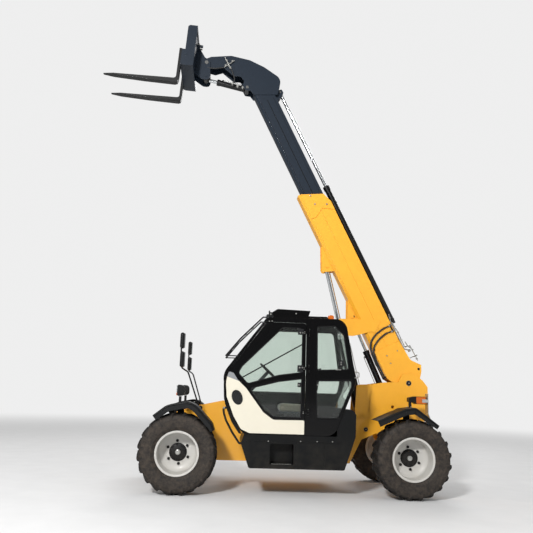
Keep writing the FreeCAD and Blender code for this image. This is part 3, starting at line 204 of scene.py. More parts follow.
def tyre_rubber():
    """Cured black rubber gone brown-grey: matt, fine grained, with dry dust down between the bars."""
    made, tree = blank("tyre_rubber")
    place = add(tree, "TexCoord").outputs["Object"]
    flat = add(tree, "VectorMath", {0: place, 1: (1, 0, 1)}, operation="MULTIPLY").outputs[0]
    out = add(tree, "VectorMath", {0: flat}, operation="LENGTH").outputs["Value"]
    groove = add(tree, "MapRange", {"Value": out, "From Min": 0.530, "From Max": 0.556, "To Min": 0.42,
                                    "To Max": 0.05}).outputs["Result"]
    cloud = add(tree, "TexNoise", {"Vector": place, "Scale": 17, "Detail": 9, "Roughness": 0.7})
    patch = add(tree, "MapRange", {"Value": cloud.outputs["Fac"], "From Min": 0.35, "From Max": 0.72})
    dusty = add(tree, "Math", {0: groove, 1: patch.outputs["Result"]}, operation="MULTIPLY").outputs[0]
    grain = add(tree, "TexNoise", {"Vector": place, "Scale": 450, "Detail": 3}).outputs["Fac"]
    colour = add(tree, "Mix", {0: dusty, 6: linear(rubber), 7: linear(tread_dust)}, data_type="RGBA")
    rough = add(tree, "MapRange", {"Value": patch.outputs["Result"], "To Min": 0.6, "To Max": 0.85})
    relief = add(tree, "Bump", {"Height": grain, "Strength": 0.5, "Distance": 0.0006})
    shade = add(tree, "BsdfPrincipled", {"Base Color": colour.outputs[2], "Normal": relief.outputs[0],
                                         "Roughness": rough.outputs["Result"], "IOR": 1.52,
                                         "Specular IOR Level": 0.3})
    add(tree, "OutputMaterial", {"Surface": shade.outputs[0]})
    return made


def turned(shape, profile, segments=48, start=(0, 0, 0), along=(0, 1, 0), closed=False):
    """Faces round a line from start, in metres, for a profile of (radius, distance) in millimetres."""
    line = Vector(along).normalized()
    across = line.orthogonal().normalized() if abs(line.y) < 0.999 else Vector((1, 0, 0))
    third = line.cross(across)
    rings = []
    for r, far in profile:
        middle = Vector(start) + line * (far / 1000)
        if r < 0.01:
            rings.append([shape.verts.new(middle)])
            continue
        rings.append([shape.verts.new(middle + (across * cos(2 * pi * k / segments)
                                                + third * sin(2 * pi * k / segments)) * (r / 1000))
                      for k in range(segments)])
    pairs = list(zip(rings, rings[1:])) + ([(rings[-1], rings[0])] if closed else [])
    for one, two in pairs:
        for k in range(segments):
            m = (k + 1) % segments
            corners = [one[k % len(one)], one[m % len(one)], two[m % len(two)], two[k % len(two)]]
            corners = [v for i, v in enumerate(corners) if v not in corners[:i]]
            if len(corners) > 2:
                shape.faces.new(corners)


def piece(name, shape, material, body, replaces=(), sharp=35, spot=None):
    """Finishes a mesh: smooth but for edges over so many degrees, its finish, and its body."""
    mesh = bpy.data.meshes.new(name)
    bmesh.ops.recalc_face_normals(shape, faces=shape.faces)
    shape.to_mesh(mesh)
    shape.free()
    edges = bmesh.new()
    edges.from_mesh(mesh)
    for face in edges.faces:
        face.smooth = True
    for edge in edges.edges:
        edge.smooth = len(edge.link_faces) == 2 and edge.calc_face_angle(0) < radians(sharp)
    edges.to_mesh(mesh)
    edges.free()
    mesh.materials.clear()
    mesh.materials.append(material)
    made = bpy.data.objects.new(name, mesh)
    bpy.context.scene.collection.objects.link(made)
    even = made.modifiers.new("flat_faces_shade_flat", "WEIGHTED_NORMAL")
    even.keep_sharp = True
    if spot is not None:
        made.location = spot
    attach(made, body)
    if replaces:
        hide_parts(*replaces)
    return made


def add_lug(shape, angle, row, across):
    """One traction bar: bent round the tread, tapered in its height, turned down at the shoulder."""
    stations = 9
    section = ((-0.5, 0), (-0.42, 0.72), (-0.34, 1), (0.34, 1), (0.42, 0.72), (0.5, 0))
    grid = []
    for i in range(stations):
        y = 3 + (tyre_half - 4) * i / (stations - 1)
        over = max(0, y - tread_half)
        top = tyre_radius - over * 1.35 - (y / tread_half) ** 2 * 3
        foot = tyre_radius - lug_height - 12 - over * 1.7
        width = lug_width * (1 + 0.28 * y / tyre_half)
        centre = angle + lug_slope * (y - tread_half / 2) / tyre_radius
        line = []
        for u, h in section:
            r = foot + (top - foot) * h
            a = centre + u * width / tyre_radius
            line.append(shape.verts.new((r * sin(a) / 1000, across * row * y / 1000, r * cos(a) / 1000)))
        grid.append(line)
    for one, two in zip(grid, grid[1:]):
        for k in range(len(section) - 1):
            shape.faces.new((one[k], one[k + 1], two[k + 1], two[k]))
    shape.faces.new(grid[0])
    shape.faces.new(grid[-1][::-1])


def make_tyre(end, material):
    crown = tyre_radius - lug_height
    wall = [(305, 148), (318, 153), (336, 168), (344, 170), (352, 178), (372, 188), (378, 194),
            (386, 195), (392, 194), (420, 200), (455, 202), (480, 200), (486, 203), (492, 200),
            (515, 194), (535, 184), (548, 172), (556, 158)]
    tread = [(crown, 130), (crown + 2, 60), (crown + 2, 0)]
    half = wall + tread
    profile = half + [(r, -y) for r, y in half[-2::-1]]
    shape = bmesh.new()
    turned(shape, profile, tyre_segments, closed=True)
    across = 1 if wheel_at[end].y > 0 else -1
    for row in (1, -1):
        for k in range(lugs_per_row):
            turn = 2 * pi * (k + (0.25 if row > 0 else 0.75)) / lugs_per_row
            add_lug(shape, turn, row, across)
    piece("tyre_" + end + "_moulded", shape, material, "wheel_" + end, ["tyre_" + end],
          spot=wheel_at[end])


wheel_rubber = tyre_rubber()
for end in ends:
    make_tyre(end, wheel_rubber)


# Wheels. Rolled steel rims welded to a dished disc, sprayed light grey, held by six black studs on
# black planetary hubs with a bright cap. The paint is satin and a little dusty in the dish.
rim_grey = "#bfbdb8"
hub_black = "#101011"
zinc = "#b9b9b4"
rim_radius = 326
bead_radius = 304
rim_half = 172
disc_face = -92
stud_circle = 165
studs = 6
planet_circle = 108
planets = 9


def sprayed_paint(name, code, roughness, coat, dust=0.15, dust_from=0.9, wear=0.0, metal="#8b8b88",
                  shine=0.5):
    """Two coats on steel: a faint orange peel about 4 mm across under the gloss, dry dust low down."""
    made, tree = blank(name)
    place = add(tree, "TexCoord").outputs["Object"]
    height = add(tree, "SeparateXYZ", {0: place}).outputs["Z"]
    low = add(tree, "MapRange", {"Value": height, "From Min": dust_from, "From Max": dust_from - 0.8,
                                 "To Max": dust})
    cloud = add(tree, "TexNoise", {"Vector": place, "Scale": 6.5, "Detail": 7, "Roughness": 0.6})
    patch = add(tree, "MapRange", {"Value": cloud.outputs["Fac"], "From Min": 0.38, "From Max": 0.75})
    dusty = add(tree, "Math", {0: low.outputs["Result"], 1: patch.outputs["Result"]},
                operation="MULTIPLY")
    tone = add(tree, "MapRange", {"Value": cloud.outputs["Fac"], "To Min": 0.93, "To Max": 1.05})
    tint = add(tree, "HueSaturation", {"Color": linear(code), "Value": tone.outputs["Result"]})
    colour = add(tree, "Mix", {0: dusty.outputs[0], 6: tint.outputs[0], 7: linear("#a5977f")},
                 data_type="RGBA").outputs[2]
    if wear:
        scratch = add(tree, "TexNoise", {"Vector": place, "Scale": 34, "Detail": 9, "Roughness": 0.75})
        rubbed = add(tree, "MapRange", {"Value": scratch.outputs["Fac"], "From Min": 0.66 - wear * 0.08,
                                        "From Max": 0.70 - wear * 0.08, "To Max": 0.85})
        colour = add(tree, "Mix", {0: rubbed.outputs["Result"], 6: colour, 7: linear(metal)},
                     data_type="RGBA").outputs[2]
    peel = add(tree, "TexNoise", {"Vector": place, "Scale": 260, "Detail": 2})
    relief = add(tree, "Bump", {"Height": peel.outputs["Fac"], "Strength": 0.12, "Distance": 0.0004})
    rough = add(tree, "MapRange", {"Value": dusty.outputs[0], "To Min": roughness, "To Max": 0.8})
    shade = add(tree, "BsdfPrincipled", {"Base Color": colour, "Roughness": rough.outputs["Result"],
                                         "IOR": 1.5, "Coat Weight": coat, "Coat Roughness": 0.08,
                                         "Specular IOR Level": shine, "Normal": relief.outputs[0]})
    add(tree, "OutputMaterial", {"Surface": shade.outputs[0]})
    return made


def bare_metal(name, code, roughness, grain=900):
    """Plated or ground steel: its grain, about 1 mm here, breaks up the highlight a little."""
    made, tree = blank(name)
    place = add(tree, "TexCoord").outputs["Object"]
    brush = add(tree, "TexNoise", {"Vector": place, "Scale": grain, "Detail": 2})
    cloud = add(tree, "TexNoise", {"Vector": place, "Scale": 14, "Detail": 4})
    colour = add(tree, "Mix", {0: cloud.outputs["Fac"], 6: linear(code, 0.86), 7: linear(code)},
                 data_type="RGBA")
    rough = add(tree, "MapRange", {"Value": brush.outputs["Fac"], "To Min": roughness * 0.7,
                                   "To Max": roughness * 1.3})
    relief = add(tree, "Bump", {"Height": brush.outputs["Fac"], "Strength": 0.08, "Distance": 0.0002})
    shade = add(tree, "BsdfPrincipled", {"Base Color": colour.outputs[2], "Metallic": 1.0,
                                         "Roughness": rough.outputs["Result"],
                                         "Normal": relief.outputs[0]})
    add(tree, "OutputMaterial", {"Surface": shade.outputs[0]})
    return made


def hexagon_heads(shape, spots, facing, across_flats, height):
    """Bolt heads or nuts, in millimetres, standing along facing at each point in metres."""
    axis = Vector(facing).normalized()
    turn = Vector((0, 0, 1)).rotation_difference(axis).to_matrix().to_4x4()
    for k, spot in enumerate(spots):
        matrix = Matrix.Translation(Vector(spot) + axis * (height / 2000)) @ turn
        matrix = matrix @ Matrix.Rotation(0.5 * k, 4, "Z")
        bmesh.ops.create_cone(shape, cap_ends=True, segments=6, radius1=across_flats / 1732,
                              radius2=across_flats / 1732 * 0.92, depth=height / 1000, matrix=matrix)


def make_wheel(end, paint, hub_paint, bright):
    across = 1 if wheel_at[end].y > 0 else -1
    body, spot = "wheel_" + end, wheel_at[end]
    well = bead_radius - 16
    rim = [(rim_radius - 3, rim_half - 1), (rim_radius, rim_half - 5), (rim_radius - 2, rim_half - 12),
           (bead_radius + 3, rim_half - 16), (bead_radius, rim_half - 24), (bead_radius - 2, 60),
           (bead_radius - 9, 46), (bead_radius - 9, -46), (bead_radius - 2, -60),
           (bead_radius, 24 - rim_half), (bead_radius + 3, 16 - rim_half), (rim_radius, 5 - rim_half),
           (rim_radius - 3, 1 - rim_half), (well, -rim_half), (well, disc_face - 60),
           (well - 30, disc_face - 34), (150, disc_face - 18), (123, disc_face - 18), (123, disc_face),
           (150, disc_face), (205, disc_face + 3), (well - 46, disc_face + 20),
           (well - 14, disc_face + 38), (well - 3, disc_face + 60), (well, 100), (well + 2, 140),
           (well + 8, rim_half - 6), (rim_radius - 9, rim_half)]
    shape = bmesh.new()
    turned(shape, rim, 96, along=(0, across, 0), closed=True)
    piece("rim_" + end, shape, paint, body, ["wheel_" + end], spot=spot)
    shape = bmesh.new()
    hub = [(0, disc_face + 26), (52, disc_face + 26), (60, disc_face + 22), (96, disc_face + 20),
           (104, disc_face + 14), (120, disc_face + 12), (133, disc_face + 6), (133, disc_face - 60),
           (45, disc_face - 60)]
    turned(shape, hub, 64, along=(0, across, 0))
    for k in range(planets):
        a = 2 * pi * k / planets
        spot_on = Vector((planet_circle * cos(a), across * (disc_face + 8),
                          planet_circle * sin(a))) / 1000
        bmesh.ops.create_uvsphere(shape, u_segments=14, v_segments=8, radius=0.019,
                                  matrix=Matrix.Translation(spot_on))
    piece("hub_" + end, shape, hub_paint, body, spot=spot)
    shape = bmesh.new()
    cap = [(0, disc_face + 56), (26, disc_face + 56), (35, disc_face + 53), (40, disc_face + 46),
           (40, disc_face + 24), (50, disc_face + 24), (50, disc_face + 21)]
    turned(shape, cap, 48, along=(0, across, 0))
    piece("hub_cap_" + end, shape, bright, body, spot=spot)
    shape = bmesh.new()
    circle = [Vector((stud_circle * cos(2 * pi * (k + 0.4) / studs), across * (disc_face + 1),
                      stud_circle * sin(2 * pi * (k + 0.4) / studs))) / 1000 for k in range(studs)]
    for stud in circle:
        turned(shape, [(0, 5), (21, 5), (22, 3), (22, 0), (0, 0)], 24, stud, (0, across, 0))
    hexagon_heads(shape, circle, (0, across, 0), 33, 24)
    hexagon_heads(shape, [c + Vector((0, across * 0.022, 0)) for c in circle], (0, across, 0), 17, 15)
    piece("wheel_nuts_" + end, shape, hub_paint, body, spot=spot)


rim_paint = sprayed_paint("rim_grey_paint", rim_grey, 0.42, 0.1, 0.3, dust_from=0.4)
hub_paint = sprayed_paint("hub_black_paint", hub_black, 0.5, 0.0, dust_from=0.2, shine=0.25)
bright_steel = bare_metal("zinc_plated_steel", zinc, 0.34)
for end in ends:
    make_wheel(end, rim_paint, hub_paint, bright_steel)


# Axles and steering. Welded beam axles with cast knuckles turning on kingpins, brushed with dull
# black chassis paint. Every cut edge is only eased, so each catches a thin line of light.
chassis_black = "#131415"


def eased(node, material, edge=3.0, steps=2, sharp=42):
    """A node's own form with its sharp edges rounded by some millimetres, riding where it does."""
    source = frame["nodes"][node]
    shape = bmesh.new()
    shape.from_mesh(source.data)
    bmesh.ops.remove_doubles(shape, verts=shape.verts, dist=0.00002)
    bmesh.ops.dissolve_limit(shape, angle_limit=radians(0.6), verts=shape.verts, edges=shape.edges)
    edges = [e for e in shape.edges if len(e.link_faces) == 2 and e.calc_face_angle(0) > radians(sharp)]
    bmesh.ops.bevel(shape, geom=edges, offset=edge / 1000, segments=steps, profile=0.7,
                    affect="EDGES", clamp_overlap=True, loop_slide=True)
    return piece(node + "_finished", shape, material, source["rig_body"], [node], sharp=sharp)


chassis_paint = sprayed_paint("chassis_black_paint", chassis_black, 0.5, 0.0, shine=0.25)
for end in ends:
    eased("knuckle_" + end, chassis_paint)
eased("front_axle", chassis_paint)
eased("rear_axle", chassis_paint)


# Fenders. Thick black polyethylene, moulded in one sheet with a deep skirt at its outer edge, bolted
# to an arm on each knuckle. The moulding has a fine leather-like grain and a soft, low sheen.
tyre_clearances = {"f": ((54.38, 71.8), (74.6, 128.2, 260), (103.86, 205.6, 260), (138.65, 78.5, 120),
                         (147.18, 49.1)),
                   "r": ((45.16, 193.9), (80.04, 163.8, 60), (93, 175.5, 60), (127.6, 55))}
fender_edges = (697, 1125)
fender_sheet = 6
lip_depth = 30
skirt_depth = 96
skirt_clear = 15


def moulded_plastic(name, code, roughness=0.5, grain=420):
    """Moulded plastic: a grain about 2 mm across, cut into the mould, that spreads its highlight."""
    made, tree = blank(name)
    place = add(tree, "TexCoord").outputs["Object"]
    cells = add(tree, "TexVoronoi", {"Vector": place, "Scale": grain})
    cloud = add(tree, "TexNoise", {"Vector": place, "Scale": 5, "Detail": 6, "Roughness": 0.6})
    colour = add(tree, "Mix", {0: cloud.outputs["Fac"], 6: linear(code), 7: linear(code, 1.35)},
                 data_type="RGBA")
    rough = add(tree, "MapRange", {"Value": cloud.outputs["Fac"], "From Min": 0.3, "From Max": 0.7,
                                   "To Min": roughness - 0.08, "To Max": roughness + 0.12})
    relief = add(tree, "Bump", {"Height": cells.outputs["Distance"], "Strength": 0.25,
                                "Distance": 0.0003})
    shade = add(tree, "BsdfPrincipled", {"Base Color": colour.outputs[2], "Normal": relief.outputs[0],
                                         "Roughness": rough.outputs["Result"], "IOR": 1.5,
                                         "Specular IOR Level": 0.25})
    add(tree, "OutputMaterial", {"Surface": shade.outputs[0]})
    return made


def corner_arc(here, back, on, radius, step):
    """A corner turned on a radius in steps of degrees; back and on point to its neighbours."""
    half = back.angle(on) / 2
    swing = pi - 2 * half
    centre = here + (back + on).normalized() * (radius / sin(half))
    start = here + back * (radius / tan(half)) - centre
    finish = here + on * (radius / tan(half)) - centre
    steps = max(2, round(swing / radians(step)))
    parts = [k / steps for k in range(steps + 1)]
    return [centre + (start * sin((1 - part) * swing) + finish * sin(part * swing)) / sin(swing)
            for part in parts]


def rounded(corners, step=6, closed=True):
    """Points along an outline; each corner is (x, z), or (x, z, radius) turned in steps of degrees."""
    spots = []
    for i, corner in enumerate(corners):
        here = Vector(corner[:2])
        radius = corner[2] if len(corner) > 2 else 0
        if not radius or not closed and i in (0, len(corners) - 1):
            spots.append(here)
            continue
        back = (Vector(corners[i - 1][:2]) - here).normalized()
        on = (Vector(corners[(i + 1) % len(corners)][:2]) - here).normalized()
        spots += corner_arc(here, back, on, radius, step)
    return spots


def normals_along(spots, closed=False):
    """The direction square to a line of points, at each, stretched so that offsets keep parallel."""
    found = []
    count = len(spots)
    for i in range(count):
        before = (spots[i] - spots[i - 1]).normalized() if i or closed else None
        beyond = (spots[(i + 1) % count] - spots[i]).normalized() if i < count - 1 or closed else None
        before, beyond = before or beyond, beyond or before
        along = (before + beyond).normalized()
        found.append(Vector((-along.y, along.x)) / max(0.3, along.dot(before)))
    return found


def walls(shape, rings):
    """Faces between rings of points that follow each other."""
    for one, two in zip(rings, rings[1:]):
        for k in range(len(one)):
            m = (k + 1) % len(one)
            shape.faces.new((one[k], one[m], two[m], two[k]))


def swept(line, section_at, axle, side):
    """A section carried along a fender's line; section_at gives its (across, depth) corners there."""
    shape = bmesh.new()
    rings = []
    for spot, away in zip(line, normals_along(line)):
        away = away if away.dot(spot) > 0 else -away
        ring = []
        for y, depth in section_at(spot):
            out = spot + away * depth
            ring.append(shape.verts.new(axle + Vector((out.x, side * y, out.y)) / 1000))
        rings.append(ring)
    walls(shape, rings)
    shape.faces.new(rings[0])
    shape.faces.new(rings[-1][::-1])
    return shape


def bolted(name, spots, facing, across_flats, height, body="chassis"):
    """Plated bolt heads that ride on a body."""
    heads = bmesh.new()
    hexagon_heads(heads, spots, facing, across_flats, height)
    piece(name, heads, bright_steel, body)


def make_fender(end, material):
    side = 1 if wheel_at[end].y > 0 else -1
    axle = Vector((wheel_at[end].x, 0, wheel_at[end].z))
    corners = []
    for turn, clear, *bend in tyre_clearances[end[0]]:
        out = tyre_radius + clear
        corners.append((out * cos(radians(turn)), out * sin(radians(turn)), *bend))
    line = rounded(corners, 4, closed=False)
    inner, outer = fender_edges
    section = ((inner, 0), (outer - 26, 0), (outer - 12, -3), (outer - 3, -11), (outer, -22),
               (outer, -lip_depth), (outer - 5, -lip_depth), (outer - 5, -22), (outer - 9, -13),
               (outer - 16, -9), (outer - 28, -fender_sheet), (inner, -fender_sheet))

    def skirt_section(spot):
        low = max(lip_depth, min(skirt_depth, spot.length - tyre_radius + skirt_clear))
        return ((outer, 8 - lip_depth), (outer, 4 - low), (outer - 2, -low), (outer - 5, -low),
                (outer - 6, 4 - low), (outer - 6, 8 - lip_depth))

    body = "knuckle_" + end
    sheet = swept(line, lambda spot: section, axle, side)
    piece("fender_" + end + "_moulded", sheet, material, body, ["fender_" + end])
    skirt = swept(line, skirt_section, axle, side)
    piece("fender_skirt_" + end, skirt, material, body)
    top = line[len(line) // 2]
    heads = [axle + Vector((top.x + x, side * y, top.y + 1)) / 1000
             for x in (-34, 34) for y in (760, 800)]
    bolted("fender_bolts_" + end, heads, (0, 0, 1), 17, 8, body)


fender_plastic = moulded_plastic("black_polyethylene", "#0e0f10", 0.5)
for end in ends:
    make_fender(end, fender_plastic)


# Frame. Two flame-cut plates 25 mm thick, welded to their cross members and painted machine yellow:
# a smooth two-coat gloss, a little uneven, with dust on its lower half. Webs of the same plate close
# the corners between the tower, the nose and the deck.
machine_yellow = "#f2ac2a"
tower_web = ((-1352, 1690, 8), (-1090, 1676, 40), (-1060, 1250, 60), (-1090, 1121), (-1300, 1121))
nose_web = ((1116, 1342, 4), (1098, 1338), (1040, 1190, 30), (965, 1121), (1116, 1121))
near_plate, far_plate = (125, 150), (-270, -245)
weld_radius = 7
weld_ripple = 9
tail_weld_x = 2082


def weld_bead(name, lines, material, body, place):
    """Fillet welds along lines of points in millimetres, rippled every 9 mm as a wire feed leaves it."""
    shape = bmesh.new()
    for points in lines:
        spots = [Vector(p) for p in points]
        stations = []
        for a, b in zip(spots, spots[1:]):
            count = max(2, round((b - a).length / weld_ripple * 2))
            stations += [a.lerp(b, k / count) for k in range(count)]
        stations.append(spots[-1])
        rings = []
        for i, spot in enumerate(stations):
            along = (stations[min(i + 1, len(stations) - 1)] - stations[max(i - 1, 0)]).normalized()
            across = along.orthogonal().normalized()
            third = along.cross(across)
            r = weld_radius * (1 if i % 2 else 0.82)
            rings.append([shape.verts.new(place @ (spot + across * (r * cos(k * pi / 3))
                                                   + third * (r * sin(k * pi / 3))))
                          for k in range(6)])
        walls(shape, rings)
    return piece(name, shape, material, body, sharp=70)


on_machine = Matrix.Translation((middle_x, 0, 0)) @ Matrix.Scale(0.001, 4)


def slab(outer, y0, y1, place=on_machine, holes=(), edge=2.0, steps=1):
    """A plate cut to an outline and its holes, from y0 to y1 across, every edge rounded by edge."""
    flat = bpy.data.curves.new("outline", "CURVE")
    flat.dimensions = "2D"
    flat.fill_mode = "BOTH"
    flat.extrude = (y1 - y0) / 2 - edge
    flat.bevel_depth = edge
    flat.bevel_resolution = steps
    flat.offset = -edge
    for line in (outer, *holes):
        spots = line if isinstance(line[0], Vector) else rounded(line)
        spline = flat.splines.new("POLY")
        spline.points.add(len(spots) - 1)
        for point, spot in zip(spline.points, spots):
            point.co = (spot.x, spot.y, 0, 1)
        spline.use_cyclic_u = True
    drawn = bpy.data.objects.new("outline", flat)
    mesh = bpy.data.meshes.new_from_object(drawn)
    bpy.data.objects.remove(drawn)
    mesh.transform(place @ Matrix.Translation((0, (y0 + y1) / 2, 0)) @ Matrix.Rotation(pi / 2, 4, "X"))
    shape = bmesh.new()
    shape.from_mesh(mesh)
    bmesh.ops.remove_doubles(shape, verts=shape.verts, dist=0.00002)
    bpy.data.meshes.remove(mesh)
    return shape


pivot = Vector(joint["boom_lift"]["pos_m"])
boom_along = Vector(joint["boom_extend"]["axis"]).normalized()
boom_up = Vector((-boom_along.z, 0, boom_along.x))
tilt_at = Vector(joint["carriage_tilt"]["pos_m"])
fork_slope = radians(3.5)
boom_turn = Matrix((boom_along, (0, 1, 0), boom_up)).transposed().to_4x4()
on_boom = Matrix.Translation(pivot) @ boom_turn @ Matrix.Scale(0.001, 4)
on_carriage = Matrix.Translation(tilt_at) @ Matrix.Rotation(-fork_slope, 4, "Y")
on_carriage = on_carriage @ Matrix.Scale(0.001, 4)
yellow_paint = sprayed_paint("machine_yellow_paint", machine_yellow, 0.4, 0.2, dust_from=1.1)
eased("chassis_frame", yellow_paint, 2.5)
for name, plate in (("near", near_plate), ("far", far_plate)):
    piece("tower_web_" + name, slab(tower_web, *plate), yellow_paint, "chassis")
    piece("nose_web_" + name, slab(nose_web, *plate), yellow_paint, "chassis")
eased("lamp_arms", chassis_paint, 2)
weld_bead("frame_welds", [[(tail_weld_x, y, 765), (tail_weld_x, y, 996)]
                          for y in (far_plate[1] + 3, near_plate[0] - 3)],
          yellow_paint, "chassis", on_machine)


# Counterweight. A cast iron block behind the rear axle, its skin a little rough under dark paint,
# held by four bolts through the frame's tail plate.
cast_grain = 70


def painted_casting(name, code, roughness):
    """Sand-cast iron under paint: soft pits some 14 mm apart that the paint doesn't fill."""
    made, tree = blank(name)
    place = add(tree, "TexCoord").outputs["Object"]
    sand = add(tree, "TexNoise", {"Vector": place, "Scale": cast_grain, "Detail": 6, "Roughness": 0.6})
    cloud = add(tree, "TexNoise", {"Vector": place, "Scale": 4, "Detail": 5})
    colour = add(tree, "Mix", {0: cloud.outputs["Fac"], 6: linear(code), 7: linear(code, 1.3)},
                 data_type="RGBA")
    relief = add(tree, "Bump", {"Height": sand.outputs["Fac"], "Strength": 0.4, "Distance": 0.003})
    shade = add(tree, "BsdfPrincipled", {"Base Color": colour.outputs[2], "Roughness": roughness,
                                         "IOR": 1.5, "Normal": relief.outputs[0]})
    add(tree, "OutputMaterial", {"Surface": shade.outputs[0]})
    return made


slate = "#1c2530"
counter_iron = painted_casting("painted_cast_iron", slate, 0.5)
eased("counterweight", counter_iron, 8, 3)
bolted("counterweight_bolts", [mm(-2331, y, z) for y in (-150, 30) for z in (840, 960)],
       (-1, 0, 0.03), 46, 13)


# Side tank and step. Folded sheet steel round the fuel tank under the cab, in panels with flanged
# seams between them, painted charcoal; the step is let into the front one, its tread toothed.
charcoal = "#0e0f10"
skirt_face = 1100
skirt_bolts = ((425, 801), (-54, 811), (-301, 814), (-530, 818))
skirt_paint = sprayed_paint("charcoal_tank_paint", charcoal, 0.42, 0.05, 0.06, dust_from=1.0, shine=0.15)
eased("side_skirt", skirt_paint, 5, 3)


def join(shape, part):
    """Moves a part's faces into a mesh that may already hold others."""
    mesh = bpy.data.meshes.new("part")
    part.to_mesh(mesh)
    part.free()
    shape.from_mesh(mesh)
    bpy.data.meshes.remove(mesh)


def rounded_block(shape, low, high, edge=4, steps=2, place=on_machine):
    """A block between two corners in millimetres, its edges rounded."""
    size = Vector(high) - Vector(low)
    middle = (Vector(high) + Vector(low)) / 2
    block = bmesh.new()
    bmesh.ops.create_cube(block, size=1, matrix=Matrix.Translation(middle) @ Matrix.Diagonal((*size, 1)))
    bmesh.ops.bevel(block, geom=block.edges[:], offset=edge, segments=steps, profile=0.5,
                    affect="EDGES", clamp_overlap=True)
    block.transform(place)
    join(shape, block)


seams = bmesh.new()
rounded_block(seams, (-700, skirt_face, 792), (810, skirt_face + 5, 799), 1.5)
for x in (25, -411):
    rounded_block(seams, (x - 4, skirt_face, 425), (x + 4, skirt_face + 4, 792), 1.5)
piece("skirt_seams", seams, skirt_paint, "chassis")
teeth = bmesh.new()
for k in range(13):
    rounded_block(teeth, (84 + k * 23, 1062, 475), (94 + k * 23, 1090, 485), 2)
piece("step_teeth", teeth, bright_steel, "chassis")
bolted("skirt_bolts", [mm(x, skirt_face, z) for x, z in skirt_bolts], (0, 1, 0), 17, 7)


# Engine bay, hood and engine. Pressed sheet painted yellow over a plain cast iron block, with a
# hinge beside the boom, louvres for its air, and two black moulded catches.
eased("engine_bay", yellow_paint, 2)
eased("engine_hood", yellow_paint, 4, 3)
engine_iron = painted_casting("engine_cast_iron", "#3a3b3b", 0.55)
eased("engine_block", engine_iron, 12, 2)
louvre_plastic = moulded_plastic("black_grille_plastic", "#1b1c1e", 0.5)
louvres = bmesh.new()
for k in range(9):
    rounded_block(louvres, (-560 + k * 62, -860, 1409), (-530 + k * 62, -420, 1418), 3)
piece("hood_louvres", louvres, louvre_plastic, "hood")
catches = bmesh.new()
for x in (-520, 560):
    rounded_block(catches, (x - 16, -1101, 1130), (x + 16, -1086, 1236), 5)
piece("hood_catches", catches, louvre_plastic, "hood")


# Pivot and foot pins. Ground steel pins, each with a black keeper disc bolted on its ends, hold the
# boom and its cylinders to the frame.
frame_outside = 210
boom_line = -60


def pin(shape, middle, radius, half, segments=40, chamfer=2):
    """A ground pin across the machine, its ends chamfered."""
    turned(shape, [(0, -half), (radius - chamfer, -half), (radius, chamfer - half),
                   (radius, half - chamfer), (radius - chamfer, half), (0, half)], segments, middle)


keeper_paint = sprayed_paint("keeper_black_paint", "#0e0e10", 0.4, 0.1, shine=0.25)
pin_steel = bare_metal("ground_pin_steel", "#8f8f8c", 0.3)
pins = bmesh.new()
keepers = bmesh.new()
keeper_bolts = bmesh.new()
for x, z, radius, reach in ((-1969, 1726, 45, frame_outside + 6), (-1241, 955, 36, frame_outside + 6),
                            (-1690, 1330, 25, 90)):
    middle = mm(x, boom_line, z)
    pin(pins, middle, radius, reach)
    if reach > frame_outside:
        for side in (1, -1):
            turned(keepers, [(13, reach + 9), (radius - 10, reach + 9), (radius - 8, reach + 6),
                             (radius - 8, reach - 1), (13, reach - 1)], 40, middle, (0, side, 0),
                   closed=True)
            hexagon_heads(keeper_bolts, [mm(x, boom_line + side * reach, z)], (0, side, 0), 24, 12)
piece("frame_pins", pins, pin_steel, "chassis", ["pivot_pins"])
piece("pin_keepers", keepers, keeper_paint, "chassis")
piece("keeper_bolts", keeper_bolts, bright_steel, "chassis")


# Cab shell. Pressed and welded steel tube with flat side frames, sprayed gloss black over primer:
# a deep wet-looking coat that mirrors the sky, with rubber seals round each pane.
cab_black = "#070708"
cab_corners = ((-560, 890, 200), (-890, 1700, 300), (-720, 2650, 180), (500, 2640, 100),
               (1160, 1740, 260), (825, 890, 120))
cab_inner_y, cab_outer_y, cab_side = 175, 1095, 42
cab_tube, cab_skin = 34, 30
cab_middle = Vector((100, 1750))
door_rear, door_top = -114, 2566
quarter_upper = ((-276, 2522, 30), (-547, 2543, 60), (-700, 2409, 80), (-779, 1879, 30),
                 (-283, 1852, 30))
quarter_lower = ((-278, 1705, 30), (-820, 1723, 30), (-824, 1629, 60), (-614, 1149, 40),
                 (-287, 1148, 30))
right_pane = ((-690, 2520, 80), (-800, 1700, 120), (-760, 1500, 60), (860, 1500, 60), (1000, 1740, 120),
              (440, 2520, 60))


def inset(corners, depth):
    """An outline's corners moved in by depth, their bends that much tighter."""
    centre = sum((Vector(c[:2]) for c in corners), Vector((0, 0))) / len(corners)
    found = []
    for i, corner in enumerate(corners):
        here = Vector(corner[:2])
        lines = []
        for other in (Vector(corners[i - 1][:2]), Vector(corners[(i + 1) % len(corners)][:2])):
            along = (other - here).normalized()
            away = Vector((-along.y, along.x))
            away = away if away.dot(centre - here) > 0 else -away
            lines.append((here + away * depth, along))
        (a, u), (b, v) = lines
        t = ((b - a).x * v.y - (b - a).y * v.x) / (u.x * v.y - u.y * v.x)
        spot = a + u * t
        found.append((spot.x, spot.y, max(0, (corner[2] if len(corner) > 2 else 0) - depth)))
    return found


def clipped(spots, keep):
    """The part of an outline where keep is positive; keep gives a signed distance in millimetres."""
    found = []
    for i, spot in enumerate(spots):
        last = spots[i - 1]
        a, b = keep(last), keep(spot)
        if (a > 0) != (b > 0):
            found.append(last.lerp(spot, a / (a - b)))
        if b > 0:
            found.append(spot)
    return found


